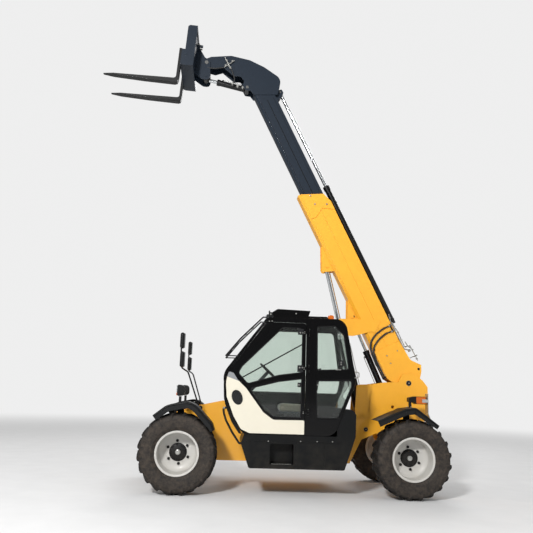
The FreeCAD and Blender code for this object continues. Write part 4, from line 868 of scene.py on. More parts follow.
def softened(spots, radius):
    """An outline with its sharp corners turned on a radius, and its gentle ones as they are."""
    corners = []
    for i, spot in enumerate(spots):
        before = (spot - spots[i - 1]).normalized()
        beyond = (spots[(i + 1) % len(spots)] - spot).normalized()
        bent = before.angle(beyond) if before.length and beyond.length else 0
        corners.append((spot.x, spot.y, radius) if bent > radians(30) else (spot.x, spot.y))
    return rounded(corners)


def door_outline(depth):
    """The door's shape: the cab's own drawn in, straight at the rear post and under the roof."""
    spots = rounded(inset(cab_corners, depth), 5)
    edge = depth - cab_tube
    spots = clipped(spots, lambda s: s.x - (door_rear + edge))
    return softened(clipped(spots, lambda s: door_top - edge - s.y), 40)


def band(shape, shallow, deep, x0, x1, z0, z1):
    """Part of the skin that runs round the cab between its sides, between two depths."""
    y0, y1 = cab_inner_y + cab_side, cab_outer_y - cab_side
    line = rounded(cab_corners, 5)
    fine = []
    for i, spot in enumerate(line):
        after = line[(i + 1) % len(line)]
        count = max(1, round((after - spot).length / 12))
        fine += [spot.lerp(after, k / count) for k in range(count)]
    rows = []
    for spot, out in zip(fine, normals_along(fine, closed=True)):
        out = out if out.dot(spot - cab_middle) > 0 else -out
        inside = x0 <= spot.x <= x1 and z0 <= spot.y <= z1
        rows.append((spot - out * shallow, spot - out * deep) if inside else None)
    first = next(i for i in range(len(rows)) if rows[i] and not rows[i - 1])
    rows = rows[first:] + rows[:first]
    rows = rows[:next((i for i, r in enumerate(rows) if r is None), len(rows))]
    rings = []
    for near, far in rows:
        rings.append([shape.verts.new(on_machine @ Vector((spot.x, y, spot.y)))
                      for spot, y in ((near, y0), (near, y1), (far, y1), (far, y0))])
    walls(shape, rings)
    shape.faces.new(rings[0])
    shape.faces.new(rings[-1][::-1])


cab_paint = sprayed_paint("gloss_black_cab_paint", cab_black, 0.2, 0.25, 0.03, dust_from=1.1, shine=0.1)
seal_rubber = moulded_plastic("black_seal_rubber", "#131314", 0.6)
side_edge = cab_outer_y - cab_side
near_side = slab(cab_corners, side_edge, cab_outer_y, edge=7, steps=3,
                 holes=(door_outline(cab_tube), quarter_upper, quarter_lower))
piece("cab_near_side", near_side, cab_paint, "chassis", ["cab_frame"])
far_side = slab(cab_corners, cab_inner_y, cab_inner_y + cab_side, holes=(right_pane,), edge=7,
                steps=3)
piece("cab_far_side", far_side, cab_paint, "chassis", ["cab_frame"])
skins = bmesh.new()
for depth, x0, x1, z0, z1 in ((cab_tube, 300, 1200, 2500, 2600), (cab_tube, 300, 1200, 1090, 1150),
                              (cab_tube, -900, -300, 2480, 2600), (cab_tube, -900, -300, 1130, 1190),
                              (cab_skin, -900, 1200, 880, 930)):
    band(skins, 0, depth, x0, x1, z0, z1)
piece("cab_cross_members", skins, cab_paint, "chassis", ["cab_frame"])
skins = bmesh.new()
band(skins, 1, cab_skin, 300, 1200, 925, 1095)
band(skins, 1, cab_skin, -900, -300, 925, 1135)
piece("cab_lower_panels", skins, cab_paint, "chassis", ["cab_panels"])
corner_guard = ((1120, 1720), (1119, 1593, 200), (1107, 1390, 300), (1054, 1230, 300), (979, 1059, 300),
                (866, 898, 20), (826, 893), (930, 1150), (1010, 1350), (1070, 1560))
guard = slab(corner_guard, side_edge + 1, cab_outer_y - 0.6, edge=5, steps=3)
piece("cab_corner_guard", guard, cab_paint, "chassis")


# Cab glass. Toughened panes 6 mm thick, tinted a faint green through their iron content, bonded
# into black rubber; they mirror the sky and show the seat behind.
pane = 6


def green_glass():
    """Float glass: clear and sharp, with a cool green cast and a hint of dust in its gloss."""
    made, tree = blank("tinted_cab_glass")
    place = add(tree, "TexCoord").outputs["Object"]
    cloud = add(tree, "TexNoise", {"Vector": place, "Scale": 3.5, "Detail": 5})
    rough = add(tree, "MapRange", {"Value": cloud.outputs["Fac"], "From Min": 0.4, "From Max": 0.8,
                                   "To Min": 0.0, "To Max": 0.06})
    tone = add(tree, "Mix", {0: cloud.outputs["Fac"], 6: linear("#dfe9e2"), 7: linear("#e8efea")},
               data_type="RGBA")
    shade = add(tree, "BsdfPrincipled", {"Base Color": tone.outputs[2], "IOR": 1.45,
                                         "Roughness": rough.outputs["Result"],
                                         "Transmission Weight": 1.0})
    add(tree, "OutputMaterial", {"Surface": shade.outputs[0]})
    return made


def glazed(name, corners, back, seal_from, seal_to, lip, body="chassis", node="cab_glass"):
    """A flat pane from back outwards, and the rubber seal, lip wide, that frames it."""
    glass = slab(inset(corners, 0.3), back, back + pane, edge=0.6, steps=0)
    piece(name, glass, cab_glass, body, [node])
    seal = slab(corners, seal_from, seal_to, holes=(rounded(inset(corners, lip)),), edge=2)
    piece(name + "_seal", seal, seal_rubber, body)


cab_glass = green_glass()
panes = bmesh.new()
band(panes, 6, 6 + pane, 300, 1200, 1150, 2500)
piece("windscreen_pane", panes, cab_glass, "chassis", ["cab_glass"])
panes = bmesh.new()
band(panes, 6, 6 + pane, -900, -300, 1190, 2480)
piece("rear_pane", panes, cab_glass, "chassis", ["cab_glass"])
quarter_back = cab_outer_y - 24
quarter_seal = quarter_back + pane
for name, corners in (("quarter_pane_upper", quarter_upper), ("quarter_pane_lower", quarter_lower)):
    glazed(name, corners, quarter_back, quarter_seal, quarter_seal + 7, 14)
glazed("far_side_pane", right_pane, cab_inner_y + 18, cab_inner_y + 9, cab_inner_y + 17, 16)


# Door. One pressed frame around two panes, hung on three lift-off hinges, with a proud outer panel
# painted cream and swept up to a grey tip at the front.
door_upper = ((255, 2491, 60), (-20, 2490, 30), (-58, 2429, 20), (-58, 1812, 20), (299, 1759, 400),
              (760, 1619, 60), (914, 1780, 60), (856, 1886, 60))
door_lower = ((738, 1558, 40), (296, 1676, 400), (-58, 1728, 20), (-58, 1143, 20), (365, 1149, 60),
              (495, 1237, 60))
door_gap, door_tube = 6, 50
door_panel_line = ((1087, 1650, 250), (1066, 1425), (950, 1142), (839, 964, 60), (712, 908, 60),
                   (-104, 908, 10), (-104, 1113, 20), (364, 1109, 120), (515, 1216), (779, 1557),
                   (909, 1677), (977, 1778, 20), (1050, 1800, 30))
panel_cream = "#dcd6c4"
tip_grey = "#86888a"
handle_at = Vector((909, 1420))
handle_tilt = radians(22)


def oval(half_width, half_height):
    """Points round the door handle's tilted oval."""
    spots = []
    for k in range(40):
        u, w = half_width * cos(2 * pi * k / 40), half_height * sin(2 * pi * k / 40)
        spots.append(handle_at + Vector((u * cos(handle_tilt) + w * sin(handle_tilt),
                                         w * cos(handle_tilt) - u * sin(handle_tilt))))
    return spots


def cream_enamel():
    """Stoved enamel on pressed steel: a smooth warm cream, and light grey on the swept-up tip."""
    made, tree = blank("cream_door_enamel")
    place = add(tree, "TexCoord").outputs["Object"]
    parts = add(tree, "SeparateXYZ", {0: place})
    slope = add(tree, "Math", {0: parts.outputs["X"], 1: -0.35}, operation="MULTIPLY")
    above = add(tree, "Math", {0: parts.outputs["Z"], 1: slope.outputs[0]}, operation="ADD")
    edge = 1.345 - 0.35 * middle_x
    tip = add(tree, "MapRange", {"Value": above.outputs[0], "From Min": edge, "From Max": edge + 0.003})
    cloud = add(tree, "TexNoise", {"Vector": place, "Scale": 5, "Detail": 6, "Roughness": 0.6})
    tone = add(tree, "MapRange", {"Value": cloud.outputs["Fac"], "To Min": 0.94, "To Max": 1.03})
    cream = add(tree, "HueSaturation", {"Color": linear(panel_cream), "Value": tone.outputs["Result"]})
    colour = add(tree, "Mix", {0: tip.outputs["Result"], 6: cream.outputs[0], 7: linear(tip_grey)},
                 data_type="RGBA")
    peel = add(tree, "TexNoise", {"Vector": place, "Scale": 260, "Detail": 2})
    relief = add(tree, "Bump", {"Height": peel.outputs["Fac"], "Strength": 0.1, "Distance": 0.0004})
    shade = add(tree, "BsdfPrincipled", {"Base Color": colour.outputs[2], "Roughness": 0.35, "IOR": 1.5,
                                         "Coat Weight": 0.4, "Coat Roughness": 0.1,
                                         "Normal": relief.outputs[0]})
    add(tree, "OutputMaterial", {"Surface": shade.outputs[0]})
    return made


leaf = slab(door_outline(cab_tube + door_gap), cab_outer_y - door_tube, cab_outer_y,
            holes=(door_upper, door_lower), edge=7, steps=3)
piece("door_leaf", leaf, cab_paint, "cab_door", ["door_frame"])
door_seal = cab_outer_y - 14
for name, corners in (("door_pane_upper", door_upper), ("door_pane_lower", door_lower)):
    glazed(name, corners, door_seal - pane, door_seal, door_seal + 7, 13, "cab_door", "door_glass")
door_enamel = cream_enamel()
shape = slab(door_panel_line, cab_outer_y + 0.3, cab_outer_y + 8.3, holes=(oval(78, 112),), edge=3,
             steps=2)
piece("door_outer_panel", shape, door_enamel, "cab_door", ["door_panel"])
handle_plastic = moulded_plastic("black_handle_nylon", "#18191b", 0.42)
shape = slab(oval(77.7, 111.7), cab_outer_y + 0.3, cab_outer_y + 14, holes=(oval(62, 96),), edge=3,
             steps=2)
piece("door_handle_ring", shape, handle_plastic, "cab_door", ["door_handle"])
shape = slab(oval(64, 98), cab_outer_y + 0.3, cab_outer_y + 4, edge=1)
piece("door_handle_cup", shape, handle_plastic, "cab_door", ["door_handle"])
lever = bmesh.new()
turn_lever = (on_machine @ Matrix.Translation((handle_at.x, 0, handle_at.y))
              @ Matrix.Rotation(handle_tilt, 4, "Y"))
rounded_block(lever, (-15, 1097, -90), (13, 1116, 90), 6, 3, turn_lever)
piece("door_handle_lever", lever, handle_plastic, "cab_door", ["door_handle"])
fittings = bmesh.new()
fitting_bolts = bmesh.new()
for x0, x1, z0, z1 in ((-74, 18, 2385, 2476), (-74, 16, 1822, 1925), (-52, 8, 1598, 1666)):
    rounded_block(fittings, (x0, cab_outer_y - 13, z0), (x1, cab_outer_y + 4, z1), 7, 3)
fitting_spots = ((-18, 2417), (-60, 2416), (-17, 1889), (-60, 1890), (-13, 1631))
hexagon_heads(fitting_bolts, [mm(x, cab_outer_y + 4, z) for x, z in fitting_spots], (0, 1, 0), 22, 8)
piece("door_window_fittings", fittings, handle_plastic, "cab_door")
piece("door_window_bolts", fitting_bolts, bright_steel, "cab_door")
fittings = bmesh.new()
rounded_block(fittings, (-692, cab_outer_y - 17, 1925), (-618, cab_outer_y + 3, 2020), 7, 3)
piece("quarter_window_fitting", fittings, handle_plastic, "chassis")
fitting_bolts = bmesh.new()
fitting_spots = ((-650, 3, 1989), (-650, 3, 1957), (-297, 0, 1640), (-294, 0, 1544))
hexagon_heads(fitting_bolts, [mm(x, cab_outer_y + proud, z) for x, proud, z in fitting_spots],
              (0, 1, 0), 19, 7)
rounded_block(fitting_bolts, (-655, cab_outer_y - 16, 1872), (-568, cab_outer_y - 6, 1885), 3)
piece("quarter_window_bolts", fitting_bolts, bright_steel, "chassis")


# Door hinges. Forged straps in black, turning on bright pins in lugs welded to the rear post, each
# strap held to the door by two plated bolts.
hinge_x, hinge_y = -158, 1108
hinge_heights = (1226, 1878, 2421)
post_lugs = bmesh.new()
hinge_pins = bmesh.new()
straps = bmesh.new()
strap_bolts = bmesh.new()
for z in hinge_heights:
    turned(hinge_pins, [(0, -52), (6, -52), (7, -51), (7, 51), (6, 53), (0, 53)], 24,
           mm(hinge_x, hinge_y, z), (0, 0, 1))
    for z0 in (z - 50, z + 26):
        turned(post_lugs, [(7.1, 0), (11, 0), (12, 1), (12, 23), (11, 24), (7.1, 24)], 28,
               mm(hinge_x, hinge_y, z0), (0, 0, 1), closed=True)
        rounded_block(post_lugs, (hinge_x - 52, 1094.5, z0 + 0.5), (hinge_x - 6, 1113, z0 + 23.5), 2)
    turned(straps, [(7.1, -24), (11, -24), (12, -23), (12, 23), (11, 24), (7.1, 24)], 28,
           mm(hinge_x, hinge_y, z), (0, 0, 1), closed=True)
    rounded_block(straps, (hinge_x + 6, 1104, z - 24), (-62, 1114, z + 24), 3)
    rounded_block(straps, (-104, 1094.5, z - 24), (-62, 1110, z + 24), 3)
    hexagon_heads(strap_bolts, [mm(-82, 1114, z - 11), mm(-82, 1114, z + 11)], (0, 1, 0), 13, 7)
piece("hinge_lugs", post_lugs, cab_paint, "chassis", ["cab_frame"])
piece("hinge_pins", hinge_pins, bright_steel, "chassis", ["cab_frame"])
piece("hinge_straps", straps, cab_paint, "cab_door", ["door_frame"])
piece("hinge_bolts", strap_bolts, bright_steel, "cab_door")


# Handrails. Round steel tube bent cold: one inside the door across its upper pane, a small bright one
# on the cab's rear corner, and a black stay before the cab's front corner.
def bent(points, radius, step=10):
    """Points along a line in space with its corners turned on a radius."""
    spots = [Vector(p) for p in points]
    found = [spots[0]]
    for before, here, beyond in zip(spots, spots[1:], spots[2:]):
        back, on = (before - here).normalized(), (beyond - here).normalized()
        half = back.angle(on) / 2
        if pi - 2 * half < 0.05:
            found.append(here)
            continue
        room = min((before - here).length, (beyond - here).length) * 0.48
        found += corner_arc(here, back, on, min(radius, room * tan(half)), step)
    return found + [spots[-1]]


def tube(shape, spots, radius, place=on_machine, sides=16):
    """A round bar or tube along points in millimetres, closed at its ends."""
    line = [Vector(s) for s in spots]
    along = (line[1] - line[0]).normalized()
    across = along.orthogonal().normalized()
    rings = []
    for i, spot in enumerate(line):
        before = (spot - line[i - 1]).normalized() if i else along
        beyond = (line[i + 1] - spot).normalized() if i + 1 < len(line) else before
        ahead = (before + beyond).normalized()
        across = (across - ahead * across.dot(ahead)).normalized()
        third = ahead.cross(across)
        rings.append([shape.verts.new(place @ (spot + (across * cos(2 * pi * k / sides)
                                                      + third * sin(2 * pi * k / sides)) * radius))
                      for k in range(sides)])
    walls(shape, rings)
    shape.faces.new(rings[0][::-1])
    shape.faces.new(rings[-1])


rail_paint = sprayed_paint("black_rail_paint", "#101113", 0.35, 0.2, shine=0.25)
rails = bmesh.new()
inside = cab_outer_y - door_tube
tube(rails, bent([(-84, inside + 4, 2330), (-84, inside - 22, 2330), (-84, inside - 22, 2259),
                  (813, inside - 22, 1734), (940, inside - 22, 1660), (940, inside + 4, 1660)], 30), 10)
piece("door_grab_bar", rails, rail_paint, "cab_door", ["door_frame"])
rails = bmesh.new()
tube(rails, bent([(-862, 1090, 1850), (-905, 1090, 1850), (-928, 1090, 1838), (-928, 1090, 1776),
                  (-905, 1090, 1764), (-862, 1090, 1764)], 12), 8)
piece("rear_corner_handle", rails, bright_steel, "chassis")
rails = bmesh.new()
stay_line = ((1040, 1262), (1108, 1262), (1098, 1180), (1062, 1078), (962, 905), (852, 752), (800, 752))
tube(rails, bent([(x, 1000, z) for x, z in stay_line], 30), 16)
piece("front_corner_stay", rails, rail_paint, "chassis")
bolted("front_stay_bolt", [mm(1100, 1016, 1262)], (0, 1, 0), 30, 12)


# Roof. Pressed steel with a raised cap and a visor plate that stands over the screen, all gloss
# black; an amber beacon stands at the back and a small work lamp at the front edge.
roof_cap = ((-470, 2650), (-440, 2689, 20), (360, 2684, 20), (430, 2641))
visor_line = ((-156, 2680), (-190, 2778, 10), (330, 2790, 60), (420, 2730, 20), (406, 2662), (300, 2680))
shape = bmesh.new()
band(shape, 0, cab_skin, -900, 700, 2600, 2700)
piece("roof_skin", shape, cab_paint, "chassis", ["cab_roof"])
piece("roof_cap", slab(roof_cap, 260, 1010, edge=4), cab_paint, "chassis", ["cab_roof"])
piece("roof_visor", slab(visor_line, 320, 950, edge=8, steps=3), cab_paint, "chassis",
      ["cab_roof"])
eased("windscreen_guard", rail_paint, 2)
bracket = ((392, 2560, 12), (500, 2560, 12), (480, 2660, 20), (466, 2722, 12), (420, 2722, 12),
           (400, 2650, 20))
piece("guard_bracket", slab(bracket, 1040, 1052, edge=2), rail_paint, "chassis")
bracket_bolts = bmesh.new()
hexagon_heads(bracket_bolts, [mm(443, 1052, 2690), mm(478, 1052, 2629), mm(408, 1052, 2633)],
              (0, 1, 0), 24, 9)
hexagon_heads(bracket_bolts, [mm(463, cab_outer_y, 2576), mm(421, cab_outer_y, 2579)],
              (0, 1, 0), 18, 7)
hexagon_heads(bracket_bolts, [mm(39, 950, 2726)], (0, 1, 0), 24, 8)
piece("guard_bolts", bracket_bolts, bright_steel, "chassis")


def amber_lens():
    """Moulded acrylic: orange all through, with upright ribs 10 mm apart that break up the light."""
    made, tree = blank("amber_acrylic")
    place = add(tree, "TexCoord").outputs["Object"]
    ribs = add(tree, "TexWave", {"Vector": place, "Scale": 32, "Distortion": 0.0}, bands_direction="X")
    relief = add(tree, "Bump", {"Height": ribs.outputs["Fac"], "Strength": 0.5, "Distance": 0.002})
    shade = add(tree, "BsdfPrincipled", {"Base Color": linear("#f0770c"), "Roughness": 0.12, "IOR": 1.49,
                                         "Transmission Weight": 0.35, "Normal": relief.outputs[0]})
    add(tree, "OutputMaterial", {"Surface": shade.outputs[0]})
    return made


beacon_foot = mm(-560, 640, 2649)
amber = amber_lens()
shape = bmesh.new()
turned(shape, [(0, 0), (60, 0), (62, 2), (62, 18), (56, 24), (0, 24)], 48, beacon_foot, (0, 0, 1))
piece("beacon_base", shape, louvre_plastic, "chassis", ["beacon"])
shape = bmesh.new()
turned(shape, [(0, 24), (50, 24), (50, 78), (48, 92), (40, 103), (26, 109), (0, 110)], 48,
       beacon_foot, (0, 0, 1))
piece("beacon_lens", shape, amber, "chassis", ["beacon"])


# Driver's place. A sprung seat with sewn grey fabric cushions on a moulded pan, the console and its
# steering column, a soft-rimmed wheel, and a ribbed rubber mat over the floor.
interior_grey = "#33363a"
fabric_beige = "#a49a87"
cover_pressure = 4
cover_steps = 20
pan_plastic = moulded_plastic("dark_grey_interior_plastic", interior_grey, 0.55)
eased("seat_base", pan_plastic, 6, 3)
eased("dashboard", pan_plastic, 10, 3)


def woven_fabric():
    """Woven polyester upholstery: threads 1.2 mm apart drawn at 6 mm so that they show, dull sheen."""
    made, tree = blank("woven_seat_fabric")
    place = add(tree, "TexCoord").outputs["Object"]
    warp = add(tree, "TexWave", {"Vector": place, "Scale": 52}, bands_direction="Y")
    weft = add(tree, "TexWave", {"Vector": place, "Scale": 52}, bands_direction="DIAGONAL")
    weave = add(tree, "Math", {0: warp.outputs["Fac"], 1: weft.outputs["Fac"]}, operation="MULTIPLY")
    cloud = add(tree, "TexNoise", {"Vector": place, "Scale": 7, "Detail": 5})
    colour = add(tree, "Mix", {0: weave.outputs[0], 6: linear(fabric_beige, 0.7),
                               7: linear(fabric_beige)}, data_type="RGBA")
    bright = add(tree, "MapRange", {"Value": cloud.outputs["Fac"], "To Min": 0.85, "To Max": 1.1})
    worn = add(tree, "HueSaturation", {"Color": colour.outputs[2], "Value": bright.outputs["Result"]})
    relief = add(tree, "Bump", {"Height": weave.outputs[0], "Strength": 0.6, "Distance": 0.001})
    shade = add(tree, "BsdfPrincipled", {"Base Color": worn.outputs[0], "Roughness": 0.9, "IOR": 1.45,
                                         "Sheen Weight": 0.3, "Sheen Roughness": 0.5,
                                         "Normal": relief.outputs[0]})
    add(tree, "OutputMaterial", {"Surface": shade.outputs[0]})
    return made


def cushion(name, corners, y0, y1, fabric, grown):
    """A foam cushion in a sewn cover: a closed block, remeshed, blown up as cloth and smoothed."""
    shape = slab(corners, y0, y1, edge=18, steps=3)
    mesh = bpy.data.meshes.new(name)
    shape.to_mesh(mesh)
    shape.free()
    made = bpy.data.objects.new(name, mesh)
    bpy.context.scene.collection.objects.link(made)
    remesh = made.modifiers.new("fine_skin", "REMESH")
    remesh.mode = "VOXEL"
    remesh.voxel_size = 0.008
    graph = bpy.context.evaluated_depsgraph_get()
    skin = bpy.data.meshes.new_from_object(made.evaluated_get(graph))
    made.modifiers.clear()
    made.data = skin
    rest = [v.co.copy() for v in skin.vertices]
    cloth = made.modifiers.new("cover", "CLOTH")
    cloth.settings.use_pressure = True
    cloth.settings.uniform_pressure_force = cover_pressure
    cloth.settings.effector_weights.gravity = 0
    cloth.point_cache.frame_end = cover_steps
    for step in range(1, cover_steps + 1):
        bpy.context.scene.frame_set(step)
    graph = bpy.context.evaluated_depsgraph_get()
    blown = bpy.data.meshes.new_from_object(made.evaluated_get(graph))
    made.modifiers.clear()
    for vertex, start, swollen in zip(skin.vertices, rest, blown.vertices):
        push = swollen.co - start
        vertex.co = start + push * min(1, grown / 1000 / max(push.length, 1e-6))
    bpy.context.scene.frame_set(1)
    for face in skin.polygons:
        face.use_smooth = True
    skin.materials.clear()
    skin.materials.append(fabric)
    smooth = made.modifiers.new("soft", "SUBSURF")
    smooth.levels = smooth.render_levels = 1
    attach(made, "chassis")
    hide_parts("seat_cushions")
    return made


seat_fabric = woven_fabric()
seat_line = ((-182, 1232), (252, 1232, 24), (266, 1336, 50), (-182, 1324, 30))
back_line = ((-226, 1262, 24), (-122, 1356, 40), (-214, 1920, 55), (-328, 1926, 40), (-336, 1880))
cushion("seat_cushion", seat_line, 408, 872, seat_fabric, 9)
cushion("back_cushion", back_line, 423, 857, seat_fabric, 9)
steer_at, steer_tilt, steer_radius = (424, 640, 1828), radians(42), 170
steer = on_machine @ Matrix.Translation(steer_at) @ Matrix.Rotation(-steer_tilt, 4, "Y")
grip = moulded_plastic("soft_grip_plastic", "#151516", 0.6)
shape = bmesh.new()
ring = [Vector((steer_radius * cos(2 * pi * k / 48), steer_radius * sin(2 * pi * k / 48), 0))
        for k in range(49)]
tube(shape, ring, 12, steer, 16)
for k in range(3):
    turn = 2 * pi * k / 3
    arm = steer @ Matrix.Rotation(turn, 4, "Z")
    rounded_block(shape, (28, -15, -5), (steer_radius - 4, 15, 4), 3, 2, arm)
centre = steer @ Vector((0, 0, 0))
turned(shape, [(0, 12), (30, 11), (42, 4), (42, -18), (36, -22), (0, -22)], 32, centre,
       steer.to_3x3() @ Vector((0, 0, 1)))
piece("steering_wheel_moulded", shape, grip, "chassis", ["steering_wheel"])
mat = bmesh.new()
rounded_block(mat, (-470, 225, 920.3), (690, 1045, 926), 2)
for k in range(24):
    rounded_block(mat, (-440 + k * 46, 260, 925), (-424 + k * 46, 1030, 929), 1)
piece("floor_mat", mat, seal_rubber, "chassis")


# Lamps. Moulded black housings on posts with clear lenses in front and red ones behind, and bright
# guard plates at the back that keep them from knocks.
def lamp_lens(name, code, clear):
    """Moulded polycarbonate over a bright reflector: glossy, with a grid of prisms 9 mm across."""
    made, tree = blank(name)
    place = add(tree, "TexCoord").outputs["Object"]
    prisms = add(tree, "TexVoronoi", {"Vector": place, "Scale": 110}, distance="CHEBYCHEV")
    relief = add(tree, "Bump", {"Height": prisms.outputs["Distance"], "Strength": 0.6,
                                "Distance": 0.002})
    shade = add(tree, "BsdfPrincipled", {"Base Color": linear(code), "Roughness": 0.08, "IOR": 1.58,
                                         "Transmission Weight": clear, "Normal": relief.outputs[0]})
    add(tree, "OutputMaterial", {"Surface": shade.outputs[0]})
    return made


def add_slab(shape, line, y0, y1, edge):
    """Adds a rounded plate to a mesh that already holds others."""
    join(shape, slab(line, y0, y1, edge=edge, steps=2))


lamp_black = moulded_plastic("black_lamp_housing", "#0e0f10", 0.4)
clear_lens = lamp_lens("clear_polycarbonate", "#dfe3e4", 0.3)
red_lens = lamp_lens("red_polycarbonate", "#a3120f", 0.2)
lamp_x, lamp_z = 1790, 1402
front_line = ((lamp_x - 65, lamp_z + 12, 50), (lamp_x + 52, lamp_z, 30),
              (lamp_x + 55, lamp_z + 180, 30), (lamp_x - 60, lamp_z + 172, 60))
tail_line = ((-1828, 1423, 12), (-1828, 1493, 16), (-1935, 1515, 20), (-2104, 1515, 14),
             (-2104, 1395, 14), (-1935, 1395, 20), (-1900, 1423, 10))
tail_strip = ((-1946, 1402, 6), (-1946, 1508, 6), (-2098, 1508, 6), (-2098, 1402, 6))
housings = bmesh.new()
fronts = bmesh.new()
rears = bmesh.new()
ambers = bmesh.new()
for side in (1, -1):
    y0, y1 = sorted((side * 500, side * 640))
    add_slab(housings, front_line, y0, y1, 10)
    rounded_block(fronts, (lamp_x + 50, y0 + 12, lamp_z + 58), (lamp_x + 65, y1 - 12, lamp_z + 168),
                  6, 3)
    rounded_block(ambers, (lamp_x + 50, y0 + 12, lamp_z + 12), (lamp_x + 64, y1 - 12, lamp_z + 52),
                  5, 2)
    add_slab(housings, tail_line, y0, y1, 5)
    add_slab(ambers, tail_strip, y0 - 1.5, y1 + 1.5, 4)
    rounded_block(rears, (-2110, y0 + 10, 1442), (-2100, y1 - 10, 1505), 4, 2)
    rounded_block(ambers, (-2110, y0 + 10, 1403), (-2100, y1 - 10, 1438), 4, 2)
rounded_block(housings, (422, 560, 2665), (482, 660, 2735), 10, 3)
rounded_block(housings, (437, 600, 2640.7), (447, 620, 2668), 2, 1)
rounded_block(housings, (424, 596, 2728), (448, 626, 2800), 8, 3)
rounded_block(fronts, (478, 568, 2673), (492, 652, 2727), 6, 3)
piece("lamp_housings", housings, lamp_black, "chassis", ["lamps"])
piece("lamp_clear_lenses", fronts, clear_lens, "chassis", ["lamps"])
piece("lamp_red_lenses", rears, red_lens, "chassis", ["lamps"])
piece("lamp_amber_lenses", ambers, amber, "chassis", ["lamps"])
guard_steel = bare_metal("zinc_guard_steel", "#c9cbcb", 0.5)
eased("lamp_guards", guard_steel, 2)


# Mirrors. Cold-bent black tube off the frame, carrying two moulded heads a side with convex glass.
def silvered_glass():
    """Silvered glass: an even mirror with faint smears where it was wiped."""
    made, tree = blank("silvered_mirror_glass")
    place = add(tree, "TexCoord").outputs["Object"]
    smear = add(tree, "TexNoise", {"Vector": place, "Scale": 11, "Detail": 6})
    rough = add(tree, "MapRange", {"Value": smear.outputs["Fac"], "To Min": 0.02, "To Max": 0.09})
    shade = add(tree, "BsdfPrincipled", {"Base Color": linear("#d9dddd"), "Metallic": 1.0,
                                         "Roughness": rough.outputs["Result"]})
    add(tree, "OutputMaterial", {"Surface": shade.outputs[0]})
    return made


mirror_glass = silvered_glass()
stalks = bmesh.new()
shells = bmesh.new()
glasses = bmesh.new()
for side, near in ((1, 150), (-1, 270)):
    points = [(1490, side * near, 1225), (1490, side * 480, 1225), (1685, side * 700, 1779),
              (1784, side * 880, 1839), (1800, side * 950, 2329)]
    tube(stalks, bent(points, 90), 12)
    turned(stalks, [(0, 0), (34, 0), (36, 2), (36, 8), (0, 8)], 24, mm(*points[0]), (0, side, 0))
    for x, y, z in ((1795, 950, 2243), (1788, 900, 1960)):
        y0, y1 = sorted((side * (y - 85), side * (y + 85)))
        rounded_block(shells, (x - 52, y0, z - 120), (x + 15, y1, z + 120), 32, 5)
        rounded_block(glasses, (x - 55, y0 + 12, z - 108), (x - 49, y1 - 12, z + 108), 2.5, 2)
piece("mirror_stalks", stalks, rail_paint, "chassis", ["mirrors"])
piece("mirror_shells", shells, lamp_black, "chassis", ["mirrors"])
piece("mirror_glasses", glasses, mirror_glass, "chassis", ["mirrors"])


# Outer boom. Two folded channels of high-strength plate welded along their sides, with a doubled
# collar at the nose, cheeks about the pivot and a curved hose plate on the near side.
eased("boom_outer", yellow_paint, 3, 2)
collar_bolts = bmesh.new()
for side in (1, -1):
    spots = [on_boom @ Vector((x, side * 162, z)) for x, z in ((3639, -106), (3467, -99), (3382, 95))]
    hexagon_heads(collar_bolts, spots, (0, side, 0), 30, 14)
    spots = [on_boom @ Vector((x, side * 170, z)) for x, z in ((560, 80), (560, -120), (420, -120))]
    hexagon_heads(collar_bolts, spots, (0, side, 0), 22, 9)
piece("boom_bolts", collar_bolts, bright_steel, "boom_outer")
boom_pins = bmesh.new()
for x, z, radius, half in ((1393, -325, 17, 90), (135, 275, 21.5, 163)):
    pin(boom_pins, on_boom @ Vector((x, 0, z)), radius, half, 32)
piece("boom_lug_pins", boom_pins, keeper_paint, "boom_outer")
for name, y in (("near", 151), ("far", -151)):
    weld_bead("boom_welds_" + name,
              [[(702, y, 182), (702, y, -282)], [(3243, y, 187), (3352, y, -5), (3243, y, -182)],
               [(712, y, -40), (3340, y, -40)]], yellow_paint, "boom_outer", on_boom)
pad_plastic = moulded_plastic("white_sliding_pad", "#c9c7bd", 0.5)
eased("nose_pads", pad_plastic, 2)
eased("wear_pads", pad_plastic, 2)


# Boom pipes and hoses. Plated steel pipes run up the boom's back from tee fittings at its tail, and
# two rubber hoses with a wrapped skin loop below it to a clamp.
def hose_rubber():
    """Wrapped rubber hose: matt black, its cloth's 3 mm wrap drawn every 7 mm so that it shows."""
    made, tree = blank("wrapped_hose_rubber")
    place = add(tree, "TexCoord").outputs["Object"]
    wrap = add(tree, "TexWave", {"Vector": place, "Scale": 52, "Distortion": 1.5},
               bands_direction="DIAGONAL")
    relief = add(tree, "Bump", {"Height": wrap.outputs["Fac"], "Strength": 0.25, "Distance": 0.0005})
    tone = add(tree, "Mix", {0: wrap.outputs["Fac"], 6: linear("#161616"), 7: linear("#222222")},
               data_type="RGBA")
    shade = add(tree, "BsdfPrincipled", {"Base Color": tone.outputs[2], "Roughness": 0.58, "IOR": 1.52,
                                         "Normal": relief.outputs[0]})
    add(tree, "OutputMaterial", {"Surface": shade.outputs[0]})
    return made


def smooth_hose(name, points, radius, material, body, place, replaces):
    """A hose on one smooth line that these points steer."""
    line = bpy.data.curves.new(name, "CURVE")
    line.dimensions = "3D"
    line.bevel_depth = radius / 1000
    line.bevel_resolution = 5
    line.use_fill_caps = True
    spline = line.splines.new("NURBS")
    spline.points.add(len(points) - 1)
    for point, spot in zip(spline.points, points):
        point.co = (*(place @ Vector(spot)), 1)
    spline.order_u = 3
    spline.use_endpoint_u = True
    spline.resolution_u = 8
    line.materials.append(material)
    made = bpy.data.objects.new(name, line)
    bpy.context.scene.collection.objects.link(made)
    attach(made, body)
    if replaces:
        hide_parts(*replaces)
    return made


